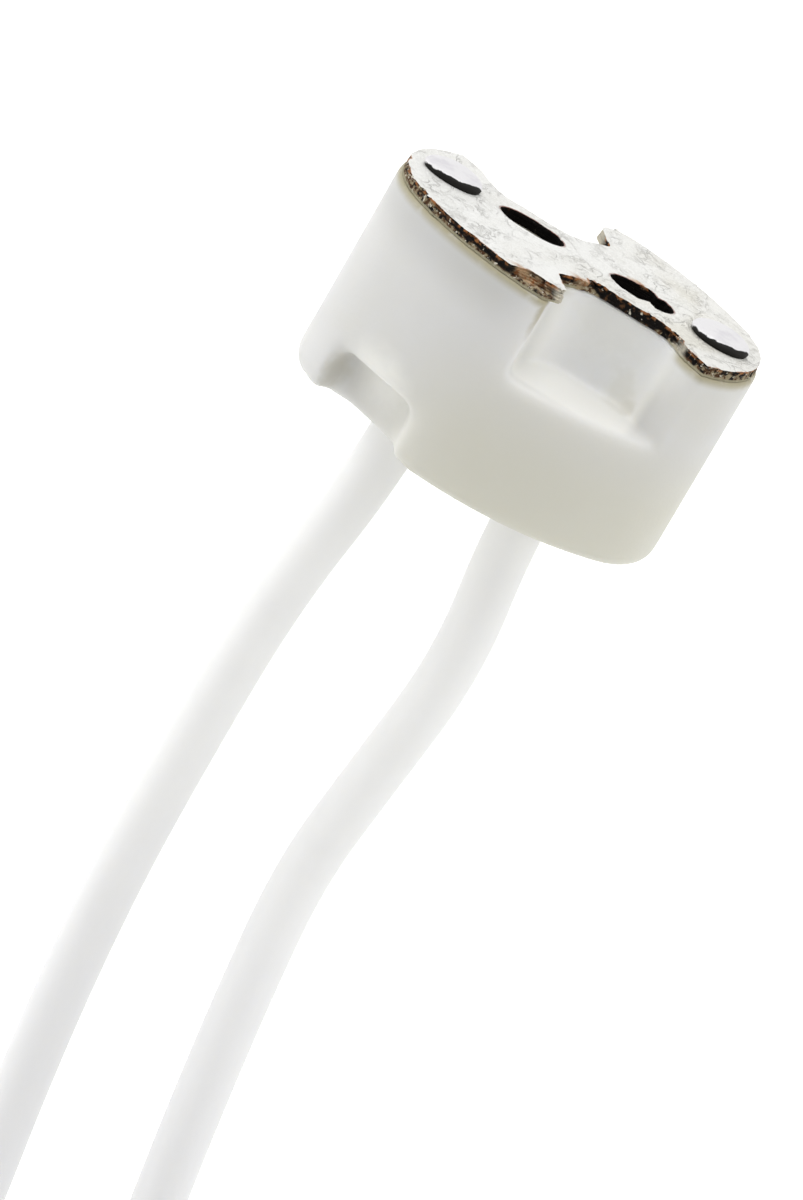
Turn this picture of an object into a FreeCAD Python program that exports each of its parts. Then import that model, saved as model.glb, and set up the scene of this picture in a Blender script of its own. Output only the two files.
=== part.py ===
"""Ceramic lamp holder for two-pin low-voltage lamps, with its two silicone leads.

The origin is the centre of the two pin openings, on the cover plate's upper face. Z points up
towards the lamp, X runs through both openings, and the leads hang down along -Z. The holder is
the same after half a turn about Z, so each feature is drawn for the half with positive X or for
the front (-Y), and patterned or placed a second time by that half turn. All sizes are in mm.
"""

import FreeCAD, Part
import math
import os
import Sketcher
from FreeCAD import Placement, Rotation, Vector

# Driving dimensions: each is one cell of the document's sheet, whose alias is the name here.
SIZES = {
    # steatite body
    "body_length": 17.15,
    "body_width": 10.9,
    "body_end_radius": 3.9,
    "body_height": 9.75,
    "base_round": 0.9,
    # cover plate
    "plate_thickness": 0.5,
    "plate_setback": 0.12,
    "tab_reach": 0.45,
    "tab_front": 4.55,
    "tab_slope": 0.6,
    "tab_hook": 0.45,
    "tab_root": 3.0,
    "tab_round": 0.3,
    "tab_fair": 1.0,
    "tab_fair_round": 1.5,
    # fixing notches, one on each long side
    "notch_wall": 0.1,
    "notch_web": 1.6,
    "notch_depth": 3.65,
    "notch_bend": 4.5,
    "notch_end": 5.8,
    "notch_shoulder": 2.9,
    "notch_flare": 5.0,
    "notch_corner": 0.5,
    "notch_inner_round": 1.2,
    "notch_outer_round": 1.4,
    "ledge_round": 0.3,
    # keying recesses at the foot of each long side
    "recess_start": 6.2,
    "recess_lean": 0.45,
    "recess_end": 2.1,
    "recess_height": 2.55,
    "recess_root": 1.7,
    "recess_nose": 3.5,
    "recess_slope": 0.7,
    "recess_round": 0.9,
    "recess_corner": 0.5,
    # openings for the lamp's pins
    "pin_pitch": 5.33,
    "slot_length": 2.97,
    "slot_width": 1.4,
    # rivets
    "rivet_pitch": 12.95,
    "rivet_diameter": 1.4,
    "rivet_clearance": 0.05,
    "head_diameter": 2.7,
    "head_height": 0.42,
    "head_round": 0.14,
    "closing_diameter": 1.96,
    "closing_height": 0.4,
    "closing_bevel": 0.15,
    "hollow_diameter": 0.9,
    "hollow_depth": 1.6,
    "counterbore_diameter": 2.1,
    "counterbore_depth": 0.9,
    # contact chambers
    "chamber_centre": 2.75,
    "chamber_length": 3.4,
    "chamber_width": 2.0,
    "chamber_depth": 7.1,
    "chamber_round": 0.3,
    # spring contacts, bent from strip, each with a crimp barrel
    "contact_thickness": 0.3,
    "contact_side_gap": 0.15,
    "contact_top_gap": 0.45,
    "contact_tip": 0.35,
    "contact_mouth": 0.55,
    "contact_throat": 0.25,
    "contact_throat_depth": 2.4,
    "contact_foot": 0.4,
    "contact_bend": 0.4,
    "barrel_bore": 1.0,
    "barrel_wall": 0.3,
    "barrel_gap": 0.05,
    "barrel_seam": 0.16,
    # steel springs behind the contacts' leaves
    "spring_thickness": 0.25,
    "spring_gap": 0.05,
    "spring_width": 2.4,
    "spring_start": 0.3,
    "spring_bend": 0.35,
    # leads
    "lead_spacing": 6.2,
    "lead_diameter": 2.35,
    "conductor_diameter": 0.95,
    "conductor_setback": 0.1,
    "socket_depth": 1.0,
    "socket_clearance": 0.1,
    "passage_clearance": 0.1,
    "stripped_end": 6.0,
}

# Routes of the leads below the body: points given from each lead's exit in the base, the far
# end's last. They are chosen by hand, so that both hang in shallow, uneven curves.
LEFT_ROUTE = [
    (0.0, 0.0, -2.5),
    (-0.95, -0.15, -9.5),
    (-1.05, -0.1, -17.0),
    (-0.95, 0.2, -25.0),
    (-0.2, 0.5, -34.0),
    (1.3, 0.4, -44.5),
    (2.4, -0.5, -63.0),
    (1.4, -1.2, -84.5),
    (0.6, -0.3, -98.5),
]
RIGHT_ROUTE = [
    (0.0, 0.0, -2.0),
    (0.85, 0.1, -8.2),
    (0.1, 0.25, -15.0),
    (-0.4, 0.1, -20.0),
    (0.15, -0.35, -26.0),
    (1.1, -0.7, -33.5),
    (2.4, -0.3, -42.5),
    (3.3, 0.9, -57.5),
    (2.3, 1.4, -79.0),
    (1.3, 0.3, -96.5),
]
# Share of the shorter run that each of a route's arcs takes up.
ARC_SHARE = 0.45
# How far two lengths may differ and still count as the same, and a lead's volume from its rule.
LEVEL_TOLERANCE = 1e-5
VOLUME_TOLERANCE = 0.01

doc = FreeCAD.newDocument("lamp_holder")


def make_sheet():
    """Put every driving dimension into a spreadsheet cell with an alias."""
    sheet = doc.addObject("Spreadsheet::Sheet", "sizes")
    for row, (alias, value) in enumerate(SIZES.items(), start=1):
        sheet.set(f"A{row}", alias)
        sheet.set(f"B{row}", str(value))
        sheet.setAlias(f"B{row}", alias)
    doc.recompute()
    return sheet


sizes = make_sheet()


def number(expression):
    """The value of an expression over the sheet's cells."""
    return float(sizes.evalExpression(expression))


def new_body(name):
    """An empty body whose label is also the name of its node."""
    body = doc.addObject("PartDesign::Body", name)
    body.Label = name
    return body


def origin_plane(body, role):
    """One of the body's own origin planes or axes."""
    return next(item for item in body.Origin.OriginFeatures if item.Role == role)


def sketch_on(body, name, role="XY_Plane", height=None):
    """A sketch on one of the body's origin planes, moved along its normal by an expression."""
    sketch = body.newObject("Sketcher::SketchObject", name)
    sketch.AttachmentSupport = [(origin_plane(body, role), "")]
    sketch.MapMode = "FlatFace"
    if height:
        sketch.setExpression("AttachmentOffset.Base.z", height)
    doc.recompute()
    return sketch


def dimension(sketch, kind, place, expression):
    """Add a dimension whose value follows an expression."""
    index = sketch.addConstraint(Sketcher.Constraint(kind, *place, number(expression)))
    sketch.setExpression(f"Constraints[{index}]", expression)


def pin_point(sketch, geometry, end, x, y):
    """Tie a point of the sketch to its two coordinates."""
    dimension(sketch, "DistanceX", (-1, 1, geometry, end), x)
    dimension(sketch, "DistanceY", (-1, 1, geometry, end), y)


def corner_arc(before, corner, after, radius):
    """The tangent arc that rounds a corner, and whether the outline turns left there."""
    back = (before - corner).normalize()
    ahead = (after - corner).normalize()
    half = back.getAngle(ahead) / 2
    centre = corner + (back + ahead).normalize() * (radius / math.sin(half))
    first = corner + back * (radius / math.tan(half)) - centre
    last = corner + ahead * (radius / math.tan(half)) - centre
    left = back.cross(ahead).z < 0
    start, end = (first, last) if left else (last, first)
    angles = [math.atan2(start.y, start.x), math.atan2(end.y, end.x)]
    if angles[1] < angles[0]:
        angles[1] += 2 * math.pi
    circle = Part.Circle(centre, Vector(0, 0, 1), radius)
    return Part.ArcOfCircle(circle, *angles), left, centre + first, centre + last


def outline(sketch, corners, closed=True):
    """Straight sides through corners (x, y, radius), each corner tied to its expressions.

    A corner with a radius is rounded by a tangent arc, and stays in place as a construction
    point where its two sides would meet. An open outline keeps plain ends.
    """
    points = [Vector(number(x), number(y), 0) for x, y, _ in corners]
    count = len(corners)
    starts, ends, arcs = list(points), list(points), {}
    for index, (_, _, radius) in enumerate(corners):
        if radius:
            before, after = points[index - 1], points[(index + 1) % count]
            arc, left, ends[index], starts[index] = corner_arc(
                before, points[index], after, number(radius)
            )
            arcs[index] = (sketch.addGeometry(arc, False), left)
    sides = {}
    for index in range(count if closed else count - 1):
        line = Part.LineSegment(starts[index], ends[(index + 1) % count])
        sides[index] = sketch.addGeometry(line, False)
    for index, (x, y, radius) in enumerate(corners):
        before, after = sides.get((index - 1) % count), sides.get(index)
        if radius:
            arc, left = arcs[index]
            sketch.addConstraint(
                [
                    Sketcher.Constraint("Tangent", before, 2, arc, 1 if left else 2),
                    Sketcher.Constraint("Tangent", after, 1, arc, 2 if left else 1),
                ]
            )
            dimension(sketch, "Radius", (arc,), radius)
            meeting = sketch.addGeometry(Part.Point(points[index]), True)
            sketch.addConstraint(
                [
                    Sketcher.Constraint("PointOnObject", meeting, 1, before),
                    Sketcher.Constraint("PointOnObject", meeting, 1, after),
                ]
            )
            pin_point(sketch, meeting, 1, x, y)
        elif after is None:
            pin_point(sketch, before, 2, x, y)
        else:
            if before is not None and (closed or index):
                sketch.addConstraint(Sketcher.Constraint("Coincident", before, 2, after, 1))
            pin_point(sketch, after, 1, x, y)


def circle(sketch, x, y, diameter):
    """A circle tied to its centre and diameter."""
    centre = Vector(number(x), number(y), 0)
    ring = sketch.addGeometry(Part.Circle(centre, Vector(0, 0, 1), number(diameter) / 2), False)
    pin_point(sketch, ring, 3, x, y)
    dimension(sketch, "Diameter", (ring,), diameter)


def slot(sketch, x, length, width):
    """A slot with round ends that lies along X, centred on the X axis."""
    radius = number(width) / 2
    reach = number(length) / 2 - radius
    middle = number(x)
    up = Vector(0, 0, 1)
    right = sketch.addGeometry(
        Part.ArcOfCircle(
            Part.Circle(Vector(middle + reach, 0, 0), up, radius), -math.pi / 2, math.pi / 2
        ),
        False,
    )
    left = sketch.addGeometry(
        Part.ArcOfCircle(
            Part.Circle(Vector(middle - reach, 0, 0), up, radius), math.pi / 2, 3 * math.pi / 2
        ),
        False,
    )
    back = sketch.addGeometry(
        Part.LineSegment(
            Vector(middle + reach, radius, 0), Vector(middle - reach, radius, 0)
        ),
        False,
    )
    front = sketch.addGeometry(
        Part.LineSegment(
            Vector(middle - reach, -radius, 0), Vector(middle + reach, -radius, 0)
        ),
        False,
    )
    sketch.addConstraint(
        [
            Sketcher.Constraint("Tangent", right, 2, back, 1),
            Sketcher.Constraint("Tangent", back, 2, left, 1),
            Sketcher.Constraint("Tangent", left, 2, front, 1),
            Sketcher.Constraint("Tangent", front, 2, right, 1),
            Sketcher.Constraint("Horizontal", front),
            Sketcher.Constraint("PointOnObject", right, 3, -1),
        ]
    )
    dimension(sketch, "DistanceX", (-1, 1, right, 3), f"{x} + ({length} - {width}) / 2")
    dimension(sketch, "DistanceX", (-1, 1, left, 3), f"{x} - ({length} - {width}) / 2")
    dimension(sketch, "Radius", (right,), f"{width} / 2")


def oval(sketch, length, width, end_radius):
    """A four-arc oval about the origin, its ends tangent to its long sides."""
    half, side, end = number(length) / 2, number(width) / 2, number(end_radius)
    flank_rule = (
        f"((({length}) / 2 - ({end_radius}))^2 + (({width}) / 2)^2 - ({end_radius})^2)"
        f" / (({width}) - 2 * ({end_radius}))"
    )
    flank = number(flank_rule)
    turn = math.atan2(flank - side, half - end)
    up = Vector(0, 0, 1)
    spans = [
        (Vector(half - end, 0, 0), end, -turn, turn),
        (Vector(0, side - flank, 0), flank, turn, math.pi - turn),
        (Vector(end - half, 0, 0), end, math.pi - turn, math.pi + turn),
        (Vector(0, flank - side, 0), flank, math.pi + turn, 2 * math.pi - turn),
    ]
    arcs = [
        sketch.addGeometry(Part.ArcOfCircle(Part.Circle(centre, up, radius), first, last), False)
        for centre, radius, first, last in spans
    ]
    for arc, following in zip(arcs, arcs[1:] + arcs[:1]):
        sketch.addConstraint(Sketcher.Constraint("Tangent", arc, 2, following, 1))
    for arc, axis in zip(arcs, (-1, -2, -1)):
        sketch.addConstraint(Sketcher.Constraint("PointOnObject", arc, 3, axis))
    for arc, radius in zip(arcs, (end_radius, flank_rule, end_radius, flank_rule)):
        dimension(sketch, "Radius", (arc,), radius)
    dimension(sketch, "DistanceX", (-1, 1, arcs[0], 3), f"({length}) / 2 - ({end_radius})")


def pad(body, sketch, name, length, downwards=False, symmetric=False):
    """Extrude a sketch by an expression."""
    feature = body.newObject("PartDesign::Pad", name)
    feature.Profile = sketch
    feature.Reversed = downwards
    feature.Midplane = symmetric
    feature.setExpression("Length", length)
    doc.recompute()
    return feature


def pocket(body, sketch, name, length=None, upwards=False):
    """Cut a sketch into the body, or through all of it, and make sure that it cuts."""
    before = body.Shape.Volume
    feature = body.newObject("PartDesign::Pocket", name)
    feature.Profile = sketch
    feature.Reversed = upwards
    if length:
        feature.setExpression("Length", length)
    else:
        feature.Type = "ThroughAll"
    doc.recompute()
    if body.Shape.Volume >= before:
        raise RuntimeError(f"{name} cuts nothing")
    return feature


def half_turn(body, features, name):
    """Repeat cuts on the other half of the body, by half a turn about Z."""
    pattern = body.newObject("PartDesign::PolarPattern", name)
    pattern.Originals = features
    pattern.Axis = (origin_plane(body, "Z_Axis"), [""])
    pattern.Angle = 360
    pattern.Occurrences = 2
    body.Tip = pattern
    doc.recompute()
    return pattern


def edges_of(feature, chosen):
    """Names of a feature's edges that pass a test."""
    edges = feature.Shape.Edges
    return [f"Edge{index}" for index, edge in enumerate(edges, start=1) if chosen(edge)]


def fillet(body, base, name, radius, chosen):
    """Round the chosen edges of the last feature."""
    feature = body.newObject("PartDesign::Fillet", name)
    feature.Base = (base, edges_of(base, chosen))
    feature.setExpression("Radius", radius)
    doc.recompute()
    return feature


def lies_at(edge, z):
    """Whether an edge lies wholly in a level plane."""
    box = edge.BoundBox
    return abs(box.ZMin - z) < LEVEL_TOLERANCE and abs(box.ZMax - z) < LEVEL_TOLERANCE


def on_oval(edge):
    """Whether an edge is an arc of the body's own oval, and not of a corner's rounding."""
    smallest = number("sizes.body_end_radius") - LEVEL_TOLERANCE
    return isinstance(edge.Curve, Part.Circle) and edge.Curve.Radius > smallest


def starts_recess(edge, start):
    """Whether a level edge is the straight one where a recess's leaning start wall ends."""
    box = edge.BoundBox
    outermost = max(abs(box.XMin), abs(box.XMax))
    innermost = min(abs(box.XMin), abs(box.XMax))
    straight = isinstance(edge.Curve, Part.Line)
    return straight and abs(innermost - start) < LEVEL_TOLERANCE and outermost > start


# Levels and places that several pieces share, as expressions over the sheet.
TOP = "-sizes.plate_thickness"
BASE = "-(sizes.plate_thickness + sizes.body_height)"
LEDGE = "-(sizes.plate_thickness + sizes.notch_depth)"
CHAMBER_FLOOR = "-(sizes.plate_thickness + sizes.chamber_depth)"
OUTSIDE = "sizes.body_length"
PLATE_FRONT = "(sizes.body_width / 2 + sizes.plate_setback)"
PIN_X = "sizes.pin_pitch / 2"
RIVET_X = "sizes.rivet_pitch / 2"
LEAD_X = "sizes.lead_spacing / 2"
BARREL_DIAMETER = "(sizes.barrel_bore + 2 * sizes.barrel_wall)"
FLOOR_THICKNESS = "(sizes.body_height - sizes.chamber_depth)"
BARREL_LENGTH = f"({FLOOR_THICKNESS} - sizes.socket_depth - sizes.barrel_gap)"
RIVET_HOLE = "sizes.rivet_diameter + 2 * sizes.rivet_clearance"


def notch_side(setback):
    """The web and flared end of a fixing notch, as an outline's corners.

    The notch's floor line runs on along X from the tab, then steps out round the rivet's lobe.
    """
    shoulder = f"sizes.notch_shoulder - {setback}"
    return [
        ("sizes.tab_fair", "-sizes.notch_web", "sizes.tab_fair_round"),
        ("sizes.notch_bend", "-sizes.notch_web", "sizes.notch_inner_round"),
        ("sizes.notch_end", f"-({shoulder})", "sizes.notch_outer_round"),
        (OUTSIDE, f"-({shoulder} + sizes.notch_flare)", None),
    ]


def cut_notch(body):
    """Cut a fixing notch, with a level ledge, down from the body's top."""
    sketch = sketch_on(body, "notch_outline", height=TOP)
    wall = [
        ("-sizes.notch_wall", f"-{OUTSIDE}", None),
        ("-sizes.notch_wall", "-sizes.tab_root", "sizes.notch_corner"),
    ]
    outline(sketch, wall + notch_side("0") + [(OUTSIDE, f"-{OUTSIDE}", None)])
    return pocket(body, sketch, "notch", "sizes.notch_depth")


def cut_recess(body):
    """Cut a keying recess up from the base: a leaning start, a deepening wall and a round nose."""
    sketch = sketch_on(body, "recess_outline", height=BASE)
    lean = f"sizes.recess_lean * ({OUTSIDE} - sizes.recess_root)"
    nose = "-(sizes.recess_end + sizes.recess_slope)"
    outline(
        sketch,
        [
            (f"-(sizes.recess_start + {lean})", f"-{OUTSIDE}", None),
            ("-sizes.recess_start", "-sizes.recess_root", None),
            (nose, "-sizes.recess_nose", "sizes.recess_round"),
            ("-sizes.recess_end", f"-{OUTSIDE}", None),
        ],
    )
    return pocket(body, sketch, "recess", "sizes.recess_height", upwards=True)


def cut_chamber(body):
    """Cut a contact's chamber down from the body's top."""
    sketch = sketch_on(body, "chamber_outline", height=TOP)
    near = "sizes.chamber_centre - sizes.chamber_length / 2"
    far = "sizes.chamber_centre + sizes.chamber_length / 2"
    side = "sizes.chamber_width / 2"
    corners = [(near, f"-{side}"), (far, f"-{side}"), (far, side), (near, side)]
    outline(sketch, [(x, y, "sizes.chamber_round") for x, y in corners])
    return pocket(body, sketch, "chamber", "sizes.chamber_depth")


def round_hole(body, name, x, diameter, height, depth=None, upwards=False):
    """Cut a round hole on the X axis, to a depth or right through."""
    sketch = sketch_on(body, f"{name}_outline", height=height)
    circle(sketch, x, "0", diameter)
    return pocket(body, sketch, name, depth, upwards)


def build_ceramic_body():
    """The steatite body: an oval block with notches, recesses, chambers and wire holes."""
    body = new_body("ceramic_body")
    section = sketch_on(body, "body_oval", height=TOP)
    oval(section, "sizes.body_length", "sizes.body_width", "sizes.body_end_radius")
    block = pad(body, section, "block", "sizes.body_height", downwards=True)
    base = number(BASE)
    fillet(body, block, "rounded_base", "sizes.base_round", lambda edge: lies_at(edge, base))

    passage = f"{BARREL_DIAMETER} + 2 * sizes.passage_clearance"
    socket = "sizes.lead_diameter + 2 * sizes.socket_clearance"
    bore = "sizes.counterbore_diameter"
    cuts = [
        cut_notch(body),
        cut_recess(body),
        cut_chamber(body),
        round_hole(body, "wire_passage", LEAD_X, passage, BASE, FLOOR_THICKNESS, True),
        round_hole(body, "lead_socket", LEAD_X, socket, BASE, "sizes.socket_depth", True),
        round_hole(body, "rivet_hole", RIVET_X, RIVET_HOLE, TOP),
        round_hole(body, "counterbore", RIVET_X, bore, BASE, "sizes.counterbore_depth", True),
    ]
    both = half_turn(body, cuts, "both_halves")
    ledge = number(LEDGE)
    rounded = fillet(
        body,
        both,
        "rounded_ledge",
        "sizes.ledge_round",
        lambda edge: lies_at(edge, ledge) and on_oval(edge),
    )
    ceiling = number(f"{BASE} + sizes.recess_height")
    start = number("sizes.recess_start")
    fillet(
        body,
        rounded,
        "rounded_recess",
        "sizes.recess_corner",
        lambda edge: lies_at(edge, ceiling) and starts_recess(edge, start),
    )
    return body


def cut_plate_edge(body):
    """Cut the plate away over a notch, up to the hooked tab that stands beside it."""
    sketch = sketch_on(body, "plate_notch_outline")
    tab = [
        ("-sizes.tab_slope", f"-{PLATE_FRONT}", None),
        ("sizes.tab_reach", "-sizes.tab_front", "sizes.tab_round"),
        ("-sizes.tab_hook", "-sizes.tab_root", "sizes.tab_round"),
    ]
    around = [(OUTSIDE, f"-{OUTSIDE}", None), ("-sizes.tab_slope", f"-{OUTSIDE}", None)]
    outline(sketch, tab + notch_side("sizes.plate_setback") + around)
    return pocket(body, sketch, "plate_notch")


def build_cover_plate():
    """The mica plate over the chambers, with two pin openings and a tab beside each notch."""
    body = new_body("cover_plate")
    section = sketch_on(body, "plate_oval")
    oval(
        section,
        "sizes.body_length - 2 * sizes.plate_setback",
        "sizes.body_width - 2 * sizes.plate_setback",
        "sizes.body_end_radius - sizes.plate_setback",
    )
    pad(body, section, "sheet", "sizes.plate_thickness", downwards=True)
    edge = cut_plate_edge(body)
    opening = sketch_on(body, "pin_opening_outline")
    slot(opening, PIN_X, "sizes.slot_length", "sizes.slot_width")
    cuts = [
        edge,
        pocket(body, opening, "pin_opening"),
        round_hole(body, "plate_rivet_hole", RIVET_X, RIVET_HOLE, None),
    ]
    half_turn(body, cuts, "plate_both_halves")
    return body


def place_side(body, side):
    """Leave a piece on the right, or turn it half way about Z to the left."""
    turn = Rotation(Vector(0, 0, 1), 0 if side == "right" else 180)
    body.Placement = Placement(Vector(0, 0, 0), turn)


def revolve(body, sketch, name):
    """Turn a profile all the way about its sketch's vertical axis."""
    feature = body.newObject("PartDesign::Revolution", name)
    feature.Profile = sketch
    feature.ReferenceAxis = (sketch, ["V_Axis"])
    feature.Angle = 360
    doc.recompute()
    return feature


def build_rivet(side):
    """A semi-tubular rivet: low head on the plate, shank through the body, end rolled over."""
    body = new_body(f"{side}_rivet")
    profile = sketch_on(body, f"{side}_rivet_profile", role="XZ_Plane")
    profile.setExpression("AttachmentOffset.Base.x", RIVET_X)
    doc.recompute()
    seat = f"{BASE} + sizes.counterbore_depth"
    end = f"{seat} - sizes.closing_height"
    outline(
        profile,
        [
            ("0", "sizes.head_height", None),
            ("0", f"{end} + sizes.hollow_depth", None),
            ("sizes.hollow_diameter / 2", f"{end} + sizes.hollow_depth", None),
            ("sizes.hollow_diameter / 2", end, None),
            ("sizes.closing_diameter / 2 - sizes.closing_bevel", end, None),
            ("sizes.closing_diameter / 2", f"{end} + sizes.closing_bevel", None),
            ("sizes.closing_diameter / 2", seat, None),
            ("sizes.rivet_diameter / 2", seat, None),
            ("sizes.rivet_diameter / 2", "0", None),
            ("sizes.head_diameter / 2", "0", None),
            ("sizes.head_diameter / 2", "sizes.head_height", "sizes.head_round"),
        ],
    )
    revolve(body, profile, f"{side}_rivet_form")
    place_side(body, side)
    return body


def bent_strip(body, name, tip, path, width, thickness):
    """A strip bent along an open path in the YZ plane, swept from its cross-section at the tip."""
    spine = sketch_on(body, f"{name}_path", role="YZ_Plane", height="sizes.chamber_centre")
    outline(spine, path, closed=False)
    section = sketch_on(body, f"{name}_section", height=tip[1])
    near, far = (f"sizes.chamber_centre - {width} / 2", f"sizes.chamber_centre + {width} / 2")
    inner, outer = (f"{tip[0]} - {thickness} / 2", f"{tip[0]} + {thickness} / 2")
    outline(
        section,
        [(near, inner, None), (far, inner, None), (far, outer, None), (near, outer, None)],
    )
    pipe = body.newObject("PartDesign::AdditivePipe", f"{name}_strip")
    pipe.Profile = section
    pipe.Spine = (spine, [])
    doc.recompute()
    return pipe


def mirrored(half):
    """A path's other half, given its points from the tip to the foot."""
    return half + [(f"-({y})", z, radius) for y, z, radius in reversed(half)]


def build_contact(side):
    """A U-shaped spring contact with a pinched throat and a crimp barrel below its foot."""
    name = f"{side}_contact"
    body = new_body(name)
    middle = "sizes.contact_thickness / 2"
    mouth = f"(sizes.contact_mouth + {middle})"
    throat = f"(sizes.contact_throat + {middle})"
    foot = f"(sizes.contact_foot + {middle})"
    top = f"({TOP} - sizes.contact_top_gap)"
    floor = f"({CHAMBER_FLOOR} + sizes.spring_thickness + sizes.contact_thickness / 2)"
    half = [
        (mouth, top, None),
        (mouth, f"{top} - sizes.contact_tip", "sizes.contact_bend"),
        (throat, f"{TOP} - sizes.contact_throat_depth", "sizes.contact_bend"),
        (foot, floor, "sizes.contact_bend"),
    ]
    width = "(sizes.chamber_length - 2 * sizes.contact_side_gap)"
    bent_strip(body, name, (mouth, top), mirrored(half), width, "sizes.contact_thickness")
    add_barrel(body, name, floor)
    place_side(body, side)
    return body


def add_barrel(body, name, floor):
    """Add the crimp barrel below a contact's foot: a tube with a seam along its front."""
    ring = sketch_on(body, f"{name}_barrel_outline", height=floor)
    circle(ring, LEAD_X, "0", BARREL_DIAMETER)
    drop = f"sizes.contact_thickness / 2 + sizes.spring_thickness + {BARREL_LENGTH}"
    pad(body, ring, f"{name}_barrel", drop, downwards=True)
    end = f"{floor} - ({drop})"
    round_hole(body, f"{name}_bore", LEAD_X, "sizes.barrel_bore", end, BARREL_LENGTH, True)
    seam = sketch_on(body, f"{name}_seam_outline", height=end)
    near, far = (f"{LEAD_X} {sign} sizes.barrel_seam / 2" for sign in "-+")
    front = f"-{BARREL_DIAMETER}"
    outline(
        seam, [(near, "0", None), (near, front, None), (far, front, None), (far, "0", None)]
    )
    pocket(body, seam, f"{name}_seam", BARREL_LENGTH, upwards=True)


def build_backing_spring(side):
    """The steel spring that presses the contact's leaves together, open round the barrel."""
    name = f"{side}_backing_spring"
    body = new_body(name)
    out = "(sizes.contact_thickness + sizes.spring_gap + sizes.spring_thickness / 2)"
    tip = f"(sizes.contact_throat + {out})"
    foot = f"(sizes.contact_foot + {out})"
    top = f"({TOP} - sizes.contact_throat_depth - sizes.spring_start)"
    floor = f"({CHAMBER_FLOOR} + sizes.spring_thickness / 2)"
    half = [
        (tip, top, None),
        (tip, f"{top} - sizes.contact_tip", "sizes.contact_bend"),
        (foot, floor, "sizes.spring_bend"),
    ]
    bent_strip(body, name, (tip, top), mirrored(half), "sizes.spring_width", "sizes.spring_thickness")
    gap = sketch_on(body, f"{name}_gap_outline", height=CHAMBER_FLOOR)
    clear = f"({BARREL_DIAMETER} / 2 + sizes.spring_gap)"
    near, far = f"{LEAD_X} - {clear}", f"{LEAD_X} + sizes.spring_width"
    outline(
        gap,
        [
            (near, f"-{clear}", None),
            (far, f"-{clear}", None),
            (far, clear, None),
            (near, clear, None),
        ],
    )
    height = "sizes.spring_thickness + sizes.contact_thickness / 2 + sizes.spring_gap"
    pocket(body, gap, f"{name}_gap", height, upwards=True)
    place_side(body, side)
    return body


def route_points(side):
    """A lead's whole route, from inside its socket to the far end of its insulation."""
    exit_x = number(LEAD_X) * (1 if side == "right" else -1)
    start = Vector(exit_x, 0, number(f"{BASE} + sizes.socket_depth"))
    leave = Vector(exit_x, 0, number(BASE))
    route = RIGHT_ROUTE if side == "right" else LEFT_ROUTE
    return [start] + [leave + Vector(*step) for step in route]


def rounded_route(points):
    """Straight runs through the points, joined by tangent arcs; returns the wire and the radii."""
    edges, radii, place = [], [], points[0]
    for before, corner, after in zip(points, points[1:], points[2:]):
        back, ahead = before - corner, after - corner
        half_turn_angle = (math.pi - back.getAngle(ahead)) / 2
        reach = ARC_SHARE * min(back.Length, ahead.Length)
        radius = reach / math.tan(half_turn_angle)
        first = corner + back.normalize() * reach
        last = corner + ahead.normalize() * reach
        centre_way = (back + ahead).normalize()
        centre = corner + centre_way * (radius / math.cos(half_turn_angle))
        middle = centre - centre_way * radius
        edges.append(Part.LineSegment(place, first).toShape())
        edges.append(Part.Arc(first, middle, last).toShape())
        radii.append(radius)
        place = last
    edges.append(Part.LineSegment(place, points[-1]).toShape())
    return Part.Wire(edges), radii


def tube(path, diameter):
    """A round solid along a path, checked against its section times its length."""
    start = path.Edges[0]
    begin = start.valueAt(start.FirstParameter)
    way = start.tangentAt(start.FirstParameter)
    ring = Part.Wire([Part.makeCircle(diameter / 2, begin, way)])
    solid = path.makePipeShell([ring], True, False)
    expected = math.pi * diameter**2 / 4 * path.Length
    if abs(solid.Volume / expected - 1) > VOLUME_TOLERANCE:
        raise RuntimeError("a lead's volume isn't its section times its length")
    return solid


def bare_conductor(name, place, way, length):
    """A straight stretch of the conductor, bare from a point of its lead's route."""
    conductor = doc.addObject("Part::Cylinder", name)
    conductor.setExpression("Radius", "sizes.conductor_diameter / 2")
    conductor.setExpression("Height", length)
    conductor.Placement = FreeCAD.Placement(place, FreeCAD.Rotation(Vector(0, 0, 1), way))
    return conductor


def build_lead(side):
    """A lead's insulation, and its conductor where it is bare: in the crimp and at the far end."""
    points = route_points(side)
    path, radii = rounded_route(points)
    sleeve = doc.addObject("Part::Feature", f"{side}_lead_sleeve")
    sleeve.Shape = tube(path, number("sizes.lead_diameter"))
    print(
        f"{side} lead: insulation {path.Length:.1f} mm long, "
        f"arc radii {', '.join(f'{radius:.0f}' for radius in radii)} mm"
    )
    crimped = f"{CHAMBER_FLOOR} - sizes.conductor_setback - ({BASE} + sizes.socket_depth)"
    onward = points[-1] - points[-2]
    return [
        sleeve,
        bare_conductor(f"{side}_conductor", points[0], Vector(0, 0, 1), crimped),
        bare_conductor(f"{side}_bare_end", points[-1], onward, "sizes.stripped_end"),
    ]


def faults(item):
    """What is wrong with a sub-part, if anything."""
    if item.Shape.isNull() or not item.Shape.isValid():
        return f"{item.Label} has no valid shape"
    if len(item.Shape.Solids) != 1:
        return f"{item.Label} has {len(item.Shape.Solids)} solids"
    return None


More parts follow.
